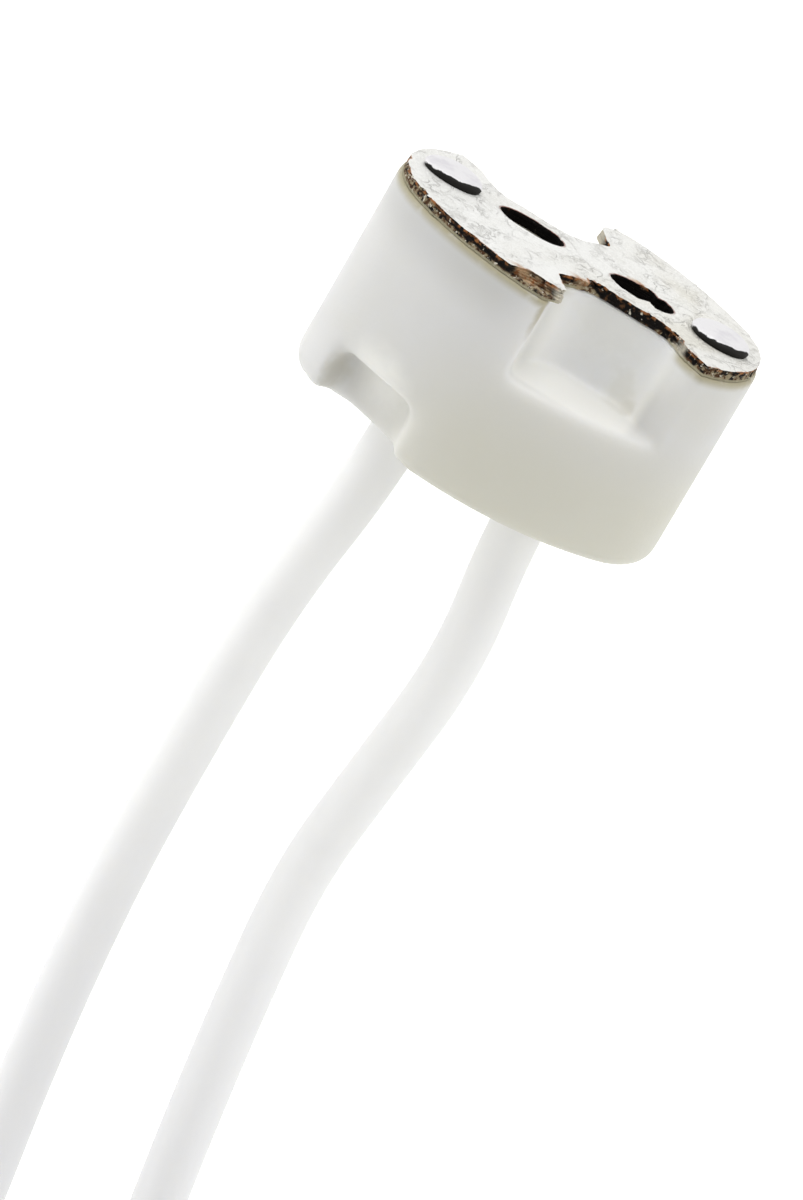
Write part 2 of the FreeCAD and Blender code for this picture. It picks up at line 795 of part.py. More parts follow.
def main():
    """Build every sub-part, check the document, and write one STEP file for each node."""
    parts = [build_ceramic_body(), build_cover_plate()]
    for side in ("left", "right"):
        parts.append(build_rivet(side))
        parts.append(build_contact(side))
        parts.append(build_backing_spring(side))
        parts += build_lead(side)
    doc.recompute()
    failed = [item.Label for item in doc.Objects if {"Invalid", "Error"} & set(item.State)]
    failed += [fault for fault in map(faults, parts) if fault]
    if failed:
        raise RuntimeError("; ".join(failed))
    os.makedirs("parts", exist_ok=True)
    for item in parts:
        item.Shape.exportStep(os.path.join("parts", f"{item.Label}.step"))
        print(f"{item.Label}: {item.Shape.Volume:.2f} mm3")


main()
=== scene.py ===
"""Looks of a ceramic lamp holder: steatite body, mica cover plate, rivets and silicone leads.

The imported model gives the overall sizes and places. The body and the plate are remade from it
with soft moulded edges and torn mica layers, the rivets, leads and bare ends are built anew,
and each piece gets a procedural finish. Sizes and places held by the classes are millimetres,
which MM turns into the scene's metres, and the scales of a finish's noise are cells a metre.
"""

import logging
import math
from dataclasses import dataclass, field
from enum import Enum
from typing import Callable, Mapping, Sequence

import bmesh
import bpy
from mathutils import Matrix, Quaternion, Vector, kdtree, noise


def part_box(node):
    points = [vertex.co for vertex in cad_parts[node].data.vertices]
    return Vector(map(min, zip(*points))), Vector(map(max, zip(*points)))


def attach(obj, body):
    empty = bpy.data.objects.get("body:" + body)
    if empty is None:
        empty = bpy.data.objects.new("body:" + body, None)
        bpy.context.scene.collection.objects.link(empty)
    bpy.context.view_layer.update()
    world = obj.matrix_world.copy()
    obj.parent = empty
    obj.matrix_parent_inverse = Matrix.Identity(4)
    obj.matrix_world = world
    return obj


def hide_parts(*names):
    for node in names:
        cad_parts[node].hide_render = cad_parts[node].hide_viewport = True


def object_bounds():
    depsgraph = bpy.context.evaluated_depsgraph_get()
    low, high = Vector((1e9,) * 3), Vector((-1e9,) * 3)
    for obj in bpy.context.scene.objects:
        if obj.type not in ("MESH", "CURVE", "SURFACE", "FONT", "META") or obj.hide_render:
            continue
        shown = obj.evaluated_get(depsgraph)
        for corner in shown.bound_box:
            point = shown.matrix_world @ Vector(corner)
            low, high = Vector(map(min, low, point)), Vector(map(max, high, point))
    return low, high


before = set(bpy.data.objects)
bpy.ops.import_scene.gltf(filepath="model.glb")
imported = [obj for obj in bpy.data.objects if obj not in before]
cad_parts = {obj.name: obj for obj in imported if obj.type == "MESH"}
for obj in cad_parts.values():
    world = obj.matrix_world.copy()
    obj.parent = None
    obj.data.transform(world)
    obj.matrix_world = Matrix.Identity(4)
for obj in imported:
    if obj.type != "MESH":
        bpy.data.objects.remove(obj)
CAD_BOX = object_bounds()

MM = 0.001
PIN_PITCH = 5.33
RIVET_PITCH = 12.95
WHITE = (1.0, 1.0, 1.0)
log = logging.getLogger("lamp_holder")

Triple = tuple[float, float, float]
Pair = tuple[float, float]
Span = Pair
Node = bpy.types.Node
Socket = bpy.types.NodeSocket
Sockets = Mapping[str, Socket]
Tree = bpy.types.NodeTree
Material = bpy.types.Material
Piece = bpy.types.Object
Mesh = bmesh.types.BMesh


class Side(Enum):
    """The two halves of the holder, by the sign of X."""

    LEFT = -1
    RIGHT = 1

    @property
    def word(self) -> str:
        """The side's name as the nodes spell it."""
        return self.name.lower()


class Region(Enum):
    """The two kinds of surface on the mica plate, as material indices."""

    FACE = 0
    TORN = 1


def clamp(value: float, low: float = 0.0, high: float = 1.0) -> float:
    """Hold a value between two limits."""
    return min(max(value, low), high)


# --------------------------------------------------------------------------- node trees


@dataclass
class NodeBoard:
    """A node tree with short calls for adding and joining nodes."""

    tree: Tree

    def add(self, kind: str, **settings: object) -> Node:
        """Add a node and set its attributes.

        Args:
            kind: the node's type name, without the ShaderNode prefix.
            **settings: attributes of the node.

        Returns:
            The new node.
        """
        node = self.tree.nodes.new(f"ShaderNode{kind}")
        for name, value in settings.items():
            setattr(node, name, value)
        return node

    def plug(self, socket: Socket, source: object) -> None:
        """Link a socket to an output, or set it to a plain value.

        Args:
            socket: the input socket.
            source: an output socket, a number, a triple or a colour.
        """
        if isinstance(source, bpy.types.NodeSocket):
            self.tree.links.new(source, socket)
        elif socket.type == "RGBA" and len(source) == 3:
            socket.default_value = (*source, 1.0)
        else:
            socket.default_value = source

    def feed(self, node: Node, **sources: object) -> Node:
        """Plug a node's inputs by name.

        Args:
            node: the node.
            **sources: what goes into each input, by its label in small letters.

        Returns:
            The same node.
        """
        for name, source in sources.items():
            label = name.replace("_", " ").title().replace("Ior", "IOR")
            self.plug(node.inputs[label], source)
        return node

    def maths(self, operation: str, *values: object, held: bool = False) -> Socket:
        """Add a Math node.

        Args:
            operation: what it works out.
            *values: its inputs in order.
            held: whether its result is held between 0 and 1.

        Returns:
            Its result.
        """
        node = self.add("Math", operation=operation, use_clamp=held)
        for socket, value in zip(node.inputs, values):
            self.plug(socket, value)
        return node.outputs[0]

    def product(self, first: object, *others: object) -> Socket:
        """Multiply values.

        Args:
            first: the first value.
            *others: the values that it is multiplied by, in turn.

        Returns:
            The product.
        """
        for other in others:
            first = self.maths("MULTIPLY", first, other)
        return first

    def most(self, first: object, *others: object) -> Socket:
        """Take the greatest of some values.

        Args:
            first: the first value.
            *others: the values that it is compared with, in turn.

        Returns:
            The greatest value.
        """
        for other in others:
            first = self.maths("MAXIMUM", first, other)
        return first

    def scaled(self, value: object, factor: object, offset: object) -> Socket:
        """A value times a factor, plus an offset."""
        return self.maths("MULTIPLY_ADD", value, factor, offset)

    def rest(self, share: object) -> Socket:
        """What a share leaves of one."""
        return self.maths("SUBTRACT", 1.0, share)

    def vector(self, operation: str, *values: object) -> Socket:
        """Add a Vector Math node.

        Args:
            operation: what it works out.
            *values: its inputs in order.

        Returns:
            Its number where the operation has one, or else its vector.
        """
        node = self.add("VectorMath", operation=operation)
        for socket, value in zip(node.inputs, values):
            self.plug(socket, value)
        return node.outputs["Value" if operation in {"LENGTH", "DOT_PRODUCT"} else "Vector"]

    def coats(self, ground: object, *coats: tuple[object, object]) -> Socket:
        """Lay colours over one another.

        Args:
            ground: the colour underneath.
            *coats: each coat's mask and colour, from the lowest up.

        Returns:
            The colour seen from above.
        """
        for mask, colour in coats:
            node = self.feed(self.add("Mix", data_type="RGBA"), factor=mask, a=ground, b=colour)
            ground = node.outputs["Result"]
        return ground

    def ramp(self, value: object, low: object, high: object, to: Span = (0.0, 1.0)) -> Socket:
        """Map a value smoothly from one span to another, held at its ends.

        Args:
            value: the value.
            low: where it starts to change.
            high: where it has changed.
            to: the results at those two places.

        Returns:
            The mapped value.
        """
        node = self.add("MapRange", interpolation_type="SMOOTHSTEP")
        self.feed(node, value=value, from_min=low, from_max=high, to_min=to[0], to_max=to[1])
        return node.outputs["Result"]

    def fade(self, place: Socket, span: Span, to: Span = (0.0, 1.0)) -> Socket:
        """Ramp a coordinate over a span in millimetres."""
        return self.ramp(place, span[0] * MM, span[1] * MM, to)

    def noise(self, vector: Socket, scale: object, detail: object, warp: float = 0.0) -> Socket:
        """Add a noise texture and return its value."""
        node = self.add("TexNoise")
        return self.feed(node, vector=vector, scale=scale, detail=detail, distortion=warp).outputs[0]

    def axes(self, place: Socket) -> Sockets:
        """Split a place into its X, Y and Z."""
        return self.feed(self.add("SeparateXYZ"), vector=place).outputs

    def stored(self, name: str) -> Socket:
        """Read a number stored with the mesh."""
        return self.add("Attribute", attribute_name=name).outputs["Fac"]

    def seen_plainly(self) -> Socket:
        """A mask of the rays that come from the camera or off metal and glass."""
        path = self.add("LightPath").outputs
        return self.most(path["Is Camera Ray"], path["Is Glossy Ray"], path["Is Transmission Ray"])


def shared_group(
    name: str, output: str, lay: Callable[[NodeBoard, Sockets], Socket], **inputs: object
) -> Tree:
    """Build a shader node group once, and reuse it afterwards.

    Args:
        name: the group's name.
        output: the name of its one output, a value.
        lay: lays out its nodes on a board from the group's inputs, and gives the result.
        **inputs: the name and default of each input besides Vector.

    Returns:
        The node group.
    """
    if name in bpy.data.node_groups:
        return bpy.data.node_groups[name]
    tree = bpy.data.node_groups.new(name, "ShaderNodeTree")
    for label, default in {"Vector": (0.0, 0.0, 0.0), **inputs}.items():
        kind = "NodeSocketVector" if isinstance(default, tuple) else "NodeSocketFloat"
        socket = tree.interface.new_socket(label, in_out="INPUT", socket_type=kind)
        socket.default_value = default
    tree.interface.new_socket(output, in_out="OUTPUT", socket_type="NodeSocketFloat")
    board = NodeBoard(tree)
    given = tree.nodes.new("NodeGroupInput").outputs
    board.plug(tree.nodes.new("NodeGroupOutput").inputs[0], lay(board, given))
    return tree


def lay_mottle(board: NodeBoard, given: Sockets) -> Socket:
    """Lay out a cloudy mask: noise between two thresholds."""
    cloud = board.noise(given["Vector"], given["Scale"], given["Detail"])
    return board.ramp(cloud, given["Low"], given["High"])


def lay_blotch(board: NodeBoard, given: Sockets) -> Socket:
    """Lay out a ragged spot about a point.

    Args:
        board: the group's board.
        given: the group's inputs.

    Returns:
        A mask: one at the spot's middle, and nothing past its reach.
    """
    cloud = board.noise(given["Vector"], given["Scale"], 3.0)
    away = board.vector("SUBTRACT", given["Vector"], given["Centre"])
    away = board.vector("MULTIPLY", away, given["Stretch"])
    far = board.maths("DIVIDE", board.vector("LENGTH", away), given["Reach"])
    far = board.scaled(board.maths("SUBTRACT", cloud, 0.5), given["Ragged"], far)
    return board.ramp(far, 1.0, 0.25)


def lay_relief(board: NodeBoard, given: Sockets) -> Socket:
    """Lay out a height made of coarse and fine noise.

    Args:
        board: the group's board.
        given: the group's inputs.

    Returns:
        The height.
    """
    coarse = board.noise(given["Vector"], given["Coarse"], 4.0)
    fine = board.noise(given["Vector"], given["Fine"], 4.0)
    return board.scaled(fine, given["Share"], coarse)


def lay_crease(board: NodeBoard, given: Sockets) -> Socket:
    """Lay out thin lines, along which a warped noise passes its middle value.

    Args:
        board: the group's board.
        given: the group's inputs.

    Returns:
        A mask of the lines.
    """
    cloud = board.noise(given["Vector"], given["Scale"], 5.0, 0.9)
    away = board.maths("ABSOLUTE", board.maths("SUBTRACT", cloud, 0.5))
    return board.maths("SUBTRACT", 1.0, board.product(away, given["Sharpness"]), held=True)


@dataclass(frozen=True)
class Cloud:
    """A cloudy mask: its noise's scale, where it starts and is full, and its detail."""

    scale: float
    low: float
    high: float
    detail: float = 3.0


@dataclass(frozen=True)
class Crease:
    """Thin wrinkled lines: their noise's scale, their sharpness, and where they are missing."""

    scale: float
    sharpness: float
    gaps: Cloud


@dataclass(frozen=True)
class Grain:
    """A bump: the scales of its coarse and fine noise, the fine one's share, and its depth."""

    coarse: float
    fine: float
    share: float
    depth: float


@dataclass(frozen=True)
class Blotch:
    """A ragged spot for stain, flakes, painted light and painted shadow: its middle, reach and
    stretch, how ragged and fine its edge is, its strength.
    """

    centre: Triple
    reach: float
    stretch: Triple = (1.0, 1.0, 1.0)
    ragged: float = 0.8
    grain: float = 1500.0
    strength: float = 0.6


@dataclass
class Surface:
    """A new material with its Principled BSDF and its object coordinates."""

    name: str
    board: NodeBoard = field(init=False)
    shader: Node = field(init=False)
    place: Socket = field(init=False)
    material: Material = field(init=False)

    def __post_init__(self) -> None:
        """Make the material's tree."""
        self.material = bpy.data.materials.new(self.name)
        self.material.use_nodes = True
        self.board = NodeBoard(self.material.node_tree)
        self.shader = self.material.node_tree.nodes["Principled BSDF"]
        self.place = self.board.add("TexCoord").outputs["Object"]

    def group(self, tree: Tree, **values: object) -> Socket:
        """Place a shared group on the object's coordinates, and return its output."""
        node = self.board.add("Group", node_tree=tree)
        return self.board.feed(node, vector=self.place, **values).outputs[0]

    def mask(self, cloud: Cloud) -> Socket:
        """A cloudy mask."""
        tree = shared_group("mottle", "Mask", lay_mottle, Scale=200.0, Detail=3.0, Low=0.35, High=0.65)
        return self.group(tree, **vars(cloud))

    def creases(self, crease: Crease) -> Socket:
        """Draw thin wrinkled lines with gaps.

        Args:
            crease: what the lines are like.

        Returns:
            A mask of the lines.
        """
        tree = shared_group("crease", "Mask", lay_crease, Scale=1000.0, Sharpness=20.0)
        lines = self.group(tree, scale=crease.scale, sharpness=crease.sharpness)
        return self.board.product(lines, self.mask(crease.gaps))

    def spots(self, blotches: Sequence[Blotch]) -> Socket:
        """A mask of ragged spots together, each as strong as it says.

        Args:
            blotches: the spots.

        Returns:
            The mask.
        """
        tree = shared_group(
            "blotch", "Mask", lay_blotch, Centre=(0.0, 0.0, 0.0), Stretch=(1.0, 1.0, 1.0),
            Reach=0.001, Ragged=0.8, Scale=1500.0,
        )
        whole = 0.0
        for blotch in blotches:
            spot = self.group(
                tree, centre=tuple(Vector(blotch.centre) * MM), stretch=blotch.stretch,
                reach=blotch.reach * MM, ragged=blotch.ragged, scale=blotch.grain,
            )
            whole = self.board.most(self.board.product(spot, blotch.strength), whole)
        return whole

    def height(self, grain: Grain) -> Socket:
        """The height of a coarse and fine grain."""
        tree = shared_group("relief", "Height", lay_relief, Coarse=600.0, Fine=4000.0, Share=0.4)
        return self.group(tree, coarse=grain.coarse, fine=grain.fine, share=grain.share)

    def bump(self, height: Socket, depth: float) -> None:
        """Give the shader a bump of a height, as deep as a length in millimetres."""
        node = self.board.feed(self.board.add("Bump"), distance=depth * MM, height=height)
        self.board.feed(self.shader, normal=node.outputs["Normal"])

    def finish(self, **values: object) -> Material:
        """Set the shader's sockets by name and return the material."""
        self.board.feed(self.shader, **values)
        return self.material


# --------------------------------------------------------------------------- finishes


@dataclass(frozen=True)
class SteatiteFinish:
    """Unglazed white steatite: a faint warm tint at random and some stain, with painted light in the
    notches and hollows, painted warm shade low at the front, painted shade below the plate's left
    half, and an olive rim under the plate that is partly stain and partly painted shadow.
    """

    light: Triple = (0.73, 0.73, 0.73)
    warm: Triple = (0.70, 0.69, 0.615)
    clean: Triple = (0.97, 0.965, 0.925)
    shade: Triple = (0.56, 0.56, 0.55)
    olive: Triple = (0.37, 0.33, 0.20)
    tinge: Cloud = Cloud(160.0, 0.35, 0.7)
    tinge_strength: float = 0.4
    warm_down: Span = (-2.0, -8.0)
    warm_along: Span = (-6.5, 0.5)
    shade_up: Span = (-3.2, -0.9)
    shade_along: Span = (0.0, -2.5)
    shade_strength: float = 0.6
    rim_up: Span = (-1.0, -0.55)
    rim_strength: float = 0.9
    rim_gaps: Cloud = Cloud(1400.0, 0.05, 0.5)
    notch_mouth: Span = (5.1, 4.6)
    notch_ledge: Span = (-4.3, -4.0)
    notch_start: Span = (-0.5, 0.65)
    notch_end: Span = (5.6, 5.0)
    grain: Grain = Grain(420.0, 5200.0, 0.35, 0.02)
    wear: Cloud = Cloud(900.0, 0.3, 0.7)
    wear_roughness: float = 0.12
    roughness: float = 0.42
    glow: float = 0.7
    glow_depth: float = 1.6
    # painted light: brighter spots on the shaded wall of the front recess and on the end wall of the
    # front notch
    pale: tuple[Blotch, ...] = (
        Blotch((-4.6, -3.3, -7.8), 2.2, (1.0, 0.6, 1.0), ragged=0.3, strength=0.7),
        Blotch((4.9, -2.0, -1.2), 2.2, ragged=0.3, strength=0.5),
    )
    # partly stain, partly painted shadow: the first three darken the back of the front notch below the
    # plate, where shade falls
    stains: tuple[Blotch, ...] = (
        Blotch((4.05, -1.7, -3.5), 0.9, (1.0, 1.0, 0.6), strength=0.16),
        Blotch((4.7, -1.9, -3.9), 0.6, strength=0.2),
        Blotch((2.6, -1.7, -1.2), 2.4, strength=0.1),
        Blotch((-0.1, -5.4, -0.9), 0.55, (1.6, 1.0, 0.3), strength=0.75),
        Blotch((-6.4, -2.7, -9.0), 0.8, (1.0, 0.5, 0.45), strength=0.3),
        Blotch((-5.9, -2.9, -8.6), 0.7, (1.0, 1.0, 0.6), strength=0.2),
        Blotch((-1.6, -4.6, -10.0), 0.6, strength=0.35),
    )

    def material(self) -> Material:
        """Build the material.

        Returns:
            The material.
        """
        surface = Surface("steatite")
        board = surface.board
        at = board.axes(surface.place)
        tinge = board.product(surface.mask(self.tinge), self.tinge_strength)
        # painted warm shade: warmer and darker towards the bottom, fading out towards the left end;
        # the random tinge is the stone's own tone
        low = board.product(board.fade(at["Z"], self.warm_down), board.fade(at["X"], self.warm_along))
        notch = self._in_notch(board, at)
        shade = board.fade(at["Z"], self.shade_up, (0.0, self.shade_strength))
        shade = board.product(shade, board.fade(at["X"], self.shade_along))
        # olive rim just under the plate: partly stain, partly painted contact shadow of the plate
        rim = board.fade(at["Z"], self.rim_up, (0.0, self.rim_strength))
        rim = board.product(rim, surface.mask(self.rim_gaps), board.rest(notch))
        stain_and_shade = board.most(rim, surface.spots(self.stains))
        colour = board.coats(
            self.light,
            (board.most(tinge, low), self.warm),
            # painted light in the notches and on the spots above, lifting their shade
            (notch, self.clean),
            (surface.spots(self.pale), self.clean),
            (shade, self.shade),
            (stain_and_shade, self.olive),
        )
        clear = board.rest(stain_and_shade)
        surface.bump(surface.height(self.grain), self.grain.depth)
        return surface.finish(
            base_color=colour,
            roughness=board.scaled(surface.mask(self.wear), self.wear_roughness, self.roughness),
            specular_ior_level=0.45,
            subsurface_weight=board.product(clear, clear, self.glow),
            subsurface_radius=(1.0, 0.95, 0.85),
            subsurface_scale=self.glow_depth * MM,
        )

    def _in_notch(self, board: NodeBoard, at: Sockets) -> Socket:
        """Find the walls of the fixing notches, where painted light lifts the shade of the hollow.

        Args:
            board: the material's board.
            at: the place's X, Y and Z.

        Returns:
            A mask of the walls.
        """
        across = board.maths("ABSOLUTE", at["Y"])
        along = board.product(at["X"], board.maths("SIGN", at["Y"]), -1.0)
        return board.product(
            board.fade(across, self.notch_mouth),
            board.fade(at["Z"], self.notch_ledge),
            board.fade(along, self.notch_end),
            board.fade(along, self.notch_start),
        )


FLAKED = (
    Blotch((-1.35, -4.75, 0.0), 0.75, (0.6, 1.7, 1.0), 1.3, 2200.0, 0.9),
    Blotch((-0.5, -4.75, 0.0), 0.4, (0.9, 1.4, 1.0), 1.2, 2200.0, 0.7),
    Blotch((0.75, -2.15, 0.0), 0.65, (0.6, 1.8, 1.0), 1.3, 2200.0, 0.85),
    Blotch((2.0, -2.05, 0.0), 0.45, (0.7, 2.0, 1.0), 1.3, 2600.0, 0.7),
    Blotch((3.7, -2.05, 0.0), 0.6, (0.8, 1.8, 1.0), 1.3, 2200.0, 0.85),
    Blotch((2.35, 0.95, 0.0), 0.45, (0.7, 1.4, 1.0), 1.4, 3000.0, 0.85),
)


@dataclass(frozen=True)
class MicaFaceFinish:
    """The plate's upper face: pale built-up mica, finely wrinkled, scorched along its rim."""

    pale: Triple = (0.83, 0.83, 0.81)
    cream: Triple = (0.76, 0.745, 0.68)
    crease: Triple = (0.44, 0.42, 0.36)
    rust: Triple = (0.38, 0.17, 0.07)
    scorch: Triple = (0.03, 0.018, 0.012)
    singed: Triple = (0.20, 0.055, 0.03)
    tan: Triple = (0.50, 0.33, 0.20)
    aged_along: Span = (-1.5, 6.0)
    least_aged: float = 0.25
    cloudy: Cloud = Cloud(260.0, 0.4, 0.62, 4.0)
    least_cloudy: float = 0.35
    lines: Crease = Crease(1500.0, 20.0, Cloud(700.0, 0.42, 0.6))
    fine_lines: Crease = Crease(3000.0, 10.0, Cloud(500.0, 0.36, 0.58))
    crease_strength: float = 0.2
    crease_aging: Pair = (0.5, 0.8)
    crease_depth: float = 0.4
    browned: Cloud = Cloud(3400.0, 0.5, 0.62)
    front: Span = (0.5, -0.5)
    scorched_rim: Pair = (0.75, 0.25)
    rim_shake: Cloud = Cloud(1400.0, 0.3, 0.7, 4.0)
    rim_shaken: Pair = (0.8, -0.55)
    rust_near: Span = (0.75, 1.0)
    scorch_near: Span = (0.98, 1.2)
    singed_near: Span = (0.5, 0.8)
    singed_gaps: Cloud = Cloud(1800.0, 0.25, 0.5)
    grain: Grain = Grain(1600.0, 5200.0, 0.7, 0.12)

    def material(self) -> Material:
        """Build the material.

        Returns:
            The material.
        """
        surface = Surface("mica_face")
        board = surface.board
        at = board.axes(surface.place)
        aged = board.fade(at["X"], self.aged_along, (self.least_aged, 1.0))
        cloudy = board.most(surface.mask(self.cloudy), self.least_cloudy)
        lines = surface.creases(self.lines)
        # darker along the creases: partly the mica's own lines, partly painted shade in the creases
        drawn = board.maths("ADD", surface.creases(self.fine_lines), lines)
        drawn = board.product(drawn, self.crease_strength, board.scaled(aged, *self.crease_aging))
        flaked = board.coats(self.tan, (surface.mask(self.browned), self.rust))
        rim = board.stored("rim")
        outer, inner = self._scorched(board, at["Y"])
        shaken = board.scaled(surface.mask(self.rim_shake), *self.rim_shaken)
        near = board.scaled(rim, outer, shaken)
        singed = board.product(board.ramp(rim, *self.singed_near), inner)
        colour = board.coats(
            self.pale,
            (board.product(cloudy, aged), self.cream),
            (drawn, self.crease),
            (surface.spots(FLAKED), flaked),
            (board.ramp(near, *self.rust_near), self.rust),
            (board.product(singed, surface.mask(self.singed_gaps)), self.singed),
            (board.ramp(near, *self.scorch_near), self.scorch),
        )
        height = board.scaled(lines, -self.crease_depth, surface.height(self.grain))
        surface.bump(height, self.grain.depth)
        return surface.finish(base_color=colour, roughness=0.5, specular_ior_level=0.4)

    def _scorched(self, board: NodeBoard, across: Socket) -> tuple[Socket, Socket]:
        """Find where the rims are scorched.

        Args:
            board: the material's board.
            across: the place's Y.

        Returns:
            How strongly the front rims are scorched, and the back rims of the pin openings.
        """
        front = board.fade(across, self.front)
        slot = board.stored("soot")
        outer = board.scaled(board.product(board.rest(slot), front), *self.scorched_rim)
        return outer, board.product(slot, board.rest(front))


@dataclass(frozen=True)
class MicaTornFinish:
    """Torn and cut mica: nearly black layers with rusty and pale flakes."""

    black: Triple = (0.004, 0.003, 0.0025)
    brown: Triple = (0.085, 0.042, 0.02)
    tan: Triple = (0.34, 0.28, 0.18)
    rust: Triple = (0.34, 0.14, 0.05)
    flake: Triple = (0.66, 0.62, 0.52)
    chip: Triple = (0.46, 0.32, 0.19)
    under: Triple = (0.40, 0.37, 0.26)
    thickness: Span = (-0.5, 0.0)
    depth_shake: Cloud = Cloud(900.0, 0.25, 0.75)
    depth_shaken: float = 0.5
    pale_depth: Span = (0.74, 0.46)
    browned: Cloud = Cloud(4200.0, 0.56, 0.7)
    tanned: Cloud = Cloud(5200.0, 0.42, 0.6)
    charred: Cloud = Cloud(3600.0, 0.5, 0.6)
    pale_flecks: Cloud = Cloud(6400.0, 0.6, 0.68)
    rusted: Cloud = Cloud(2600.0, 0.5, 0.6)
    rusted_level: Span = (0.76, 0.97)
    flecks: Cloud = Cloud(3800.0, 0.66, 0.7)
    chipped: Cloud = Cloud(3400.0, 0.48, 0.6)
    sooty: Cloud = Cloud(2600.0, 0.85, 0.62)
    under_down: Span = (-0.37, -0.43)
    under_left: Span = (0.6, 0.2)
    under_right: Span = (4.6, 5.0)
    under_strength: float = 0.85
    left_end: Span = (-4.6, -7.2)
    left_scorch: float = -0.7
    right_end: Span = (5.8, 7.4)
    right_scorch: float = -0.6
    web_start: Span = (0.9, 1.5)
    web_end: Span = (4.3, 3.7)
    web_scorch: float = 0.6
    grain: Grain = Grain(3500.0, 9000.0, 0.5, 0.05)
    tips: tuple[Blotch, ...] = (
        Blotch((0.25, -4.5, -0.12), 0.7, ragged=0.8, strength=0.95),
        Blotch((-0.3, 4.3, -0.2), 1.0, ragged=0.5, strength=0.85),
        Blotch((5.1, -2.6, -0.25), 0.75, ragged=1.2, grain=2600.0, strength=0.8),
    )

    def material(self) -> Material:
        """Build the material.

        Returns:
            The material.
        """
        surface = Surface("mica_torn")
        board = surface.board
        at = board.axes(surface.place)
        level = board.fade(at["Z"], self.thickness)
        depth = board.scaled(surface.mask(self.depth_shake), self.depth_shaken, level)
        # darker at the web: painted shade of the plate's overhang over the notch
        depth = board.maths("ADD", depth, self._scorch(board, at["X"]))
        pale = board.coats(
            self.brown,
            (surface.mask(self.tanned), self.tan),
            (surface.mask(self.charred), self.black),
            (surface.mask(self.pale_flecks), self.flake),
        )
        streak = board.product(surface.mask(self.rusted), board.ramp(level, *self.rusted_level))
        sides = [board.fade(at["X"], span) for span in (self.under_left, self.under_right)]
        under = board.fade(at["Z"], self.under_down, (0.0, self.under_strength))
        chips = board.coats(self.chip, (surface.mask(self.chipped), self.rust))
        colour = board.coats(
            self.black,
            (surface.mask(self.browned), self.brown),
            (board.ramp(depth, *self.pale_depth), pale),
            (streak, self.rust),
            (surface.mask(self.flecks), self.flake),
            (board.product(under, board.most(*sides)), self.under),
            (surface.spots(FLAKED), chips),
            (surface.spots(self.tips), self.flake),
            (board.product(board.stored("soot"), surface.mask(self.sooty)), self.black),
        )
        surface.bump(surface.height(self.grain), self.grain.depth)
        return surface.finish(base_color=colour, roughness=0.7, specular_ior_level=0.1)

    def _scorch(self, board: NodeBoard, along: Socket) -> Socket:
        """Work out how the scorching runs along the edge, with painted shade at the web.

        Args:
            board: the material's board.
            along: the place's X.

        Returns:
            What it adds to the depth: less than nothing at both ends, and more at the web, as painted
                shade of the plate's overhang.
        """
        left = board.fade(along, self.left_end, (0.0, self.left_scorch))
        right = board.fade(along, self.right_end, (0.0, self.right_scorch))
        web = board.fade(along, self.web_start, (0.0, self.web_scorch))
        return board.scaled(web, board.fade(along, self.web_end), board.maths("ADD", left, right))


@dataclass(frozen=True)
class MetalFinish:
    """A worn metal: its bright colour, its tarnish, and how much of it is tarnished."""

    name: str
    bright: Triple
    tarnish: Triple
    scale: float
    cover: float
    spread: float = 0.25
    roughness: float = 0.3
    dull_roughness: float = 0.2
    depth: float = 0.008

    def material(self) -> Material:
        """Build the material.

        Returns:
            The material.
        """
        surface = Surface(self.name)
        board = surface.board
        clear = 1.0 - self.cover
        dull = surface.mask(Cloud(self.scale, clear, clear + self.spread, 4.0))
        grain = Grain(self.scale * 2, self.scale * 12, 0.4, self.depth)
        surface.bump(surface.height(grain), grain.depth)
        return surface.finish(
            base_color=board.coats(self.bright, (dull, self.tarnish)),
            roughness=board.scaled(dull, self.dull_roughness, self.roughness),
            metallic=1.0,
        )


NICKEL = MetalFinish("nickel", (0.62, 0.58, 0.50), (0.20, 0.16, 0.11), 700.0, 0.55)
SPRING_STEEL = MetalFinish("spring_steel", (0.52, 0.52, 0.53), (0.25, 0.23, 0.22), 900.0, 0.5)
TINNED = MetalFinish("tinned", (0.70, 0.69, 0.66), (0.45, 0.43, 0.40), 1200.0, 0.5)


@dataclass(frozen=True)
class RivetFinish:
    """A dull plated rivet, painted black round the front of its head as a reflection of its dim
    surroundings.
    """

    plate: Triple = (0.765, 0.755, 0.765)
    dull: Triple = (0.68, 0.665, 0.69)
    # painted reflection: the black band on the head's front
    black: Triple = (0.006, 0.005, 0.004)
    dulled: Cloud = Cloud(1300.0, 0.45, 0.7, 4.0)
    band_shake: Cloud = Cloud(2800.0, 0.3, 0.7, 4.0)
    band_shaken: Pair = (0.14, -0.1)
    band_edge: Span = (-0.03, 0.05)
    grain: Grain = Grain(1200.0, 7000.0, 0.4, 0.02)
    metal: float = 0.4

    def material(self) -> Material:
        """Build the material.

        Returns:
            The material.
        """
        surface = Surface("rivet_metal")
        board = surface.board
        shaken = board.scaled(surface.mask(self.band_shake), *self.band_shaken)
        # painted reflection: a black band along the head's front, for the dim surroundings mirrored in
        # its flank
        reflected_band = board.ramp(board.maths("ADD", board.stored("flank"), shaken), *self.band_edge)
        colour = board.coats(self.plate, (surface.mask(self.dulled), self.dull), (reflected_band, self.black))
        surface.bump(surface.height(self.grain), self.grain.depth)
        return surface.finish(
            base_color=colour,
            roughness=0.55,
            metallic=board.scaled(reflected_band, -self.metal, self.metal),
            specular_ior_level=0.2,
        )


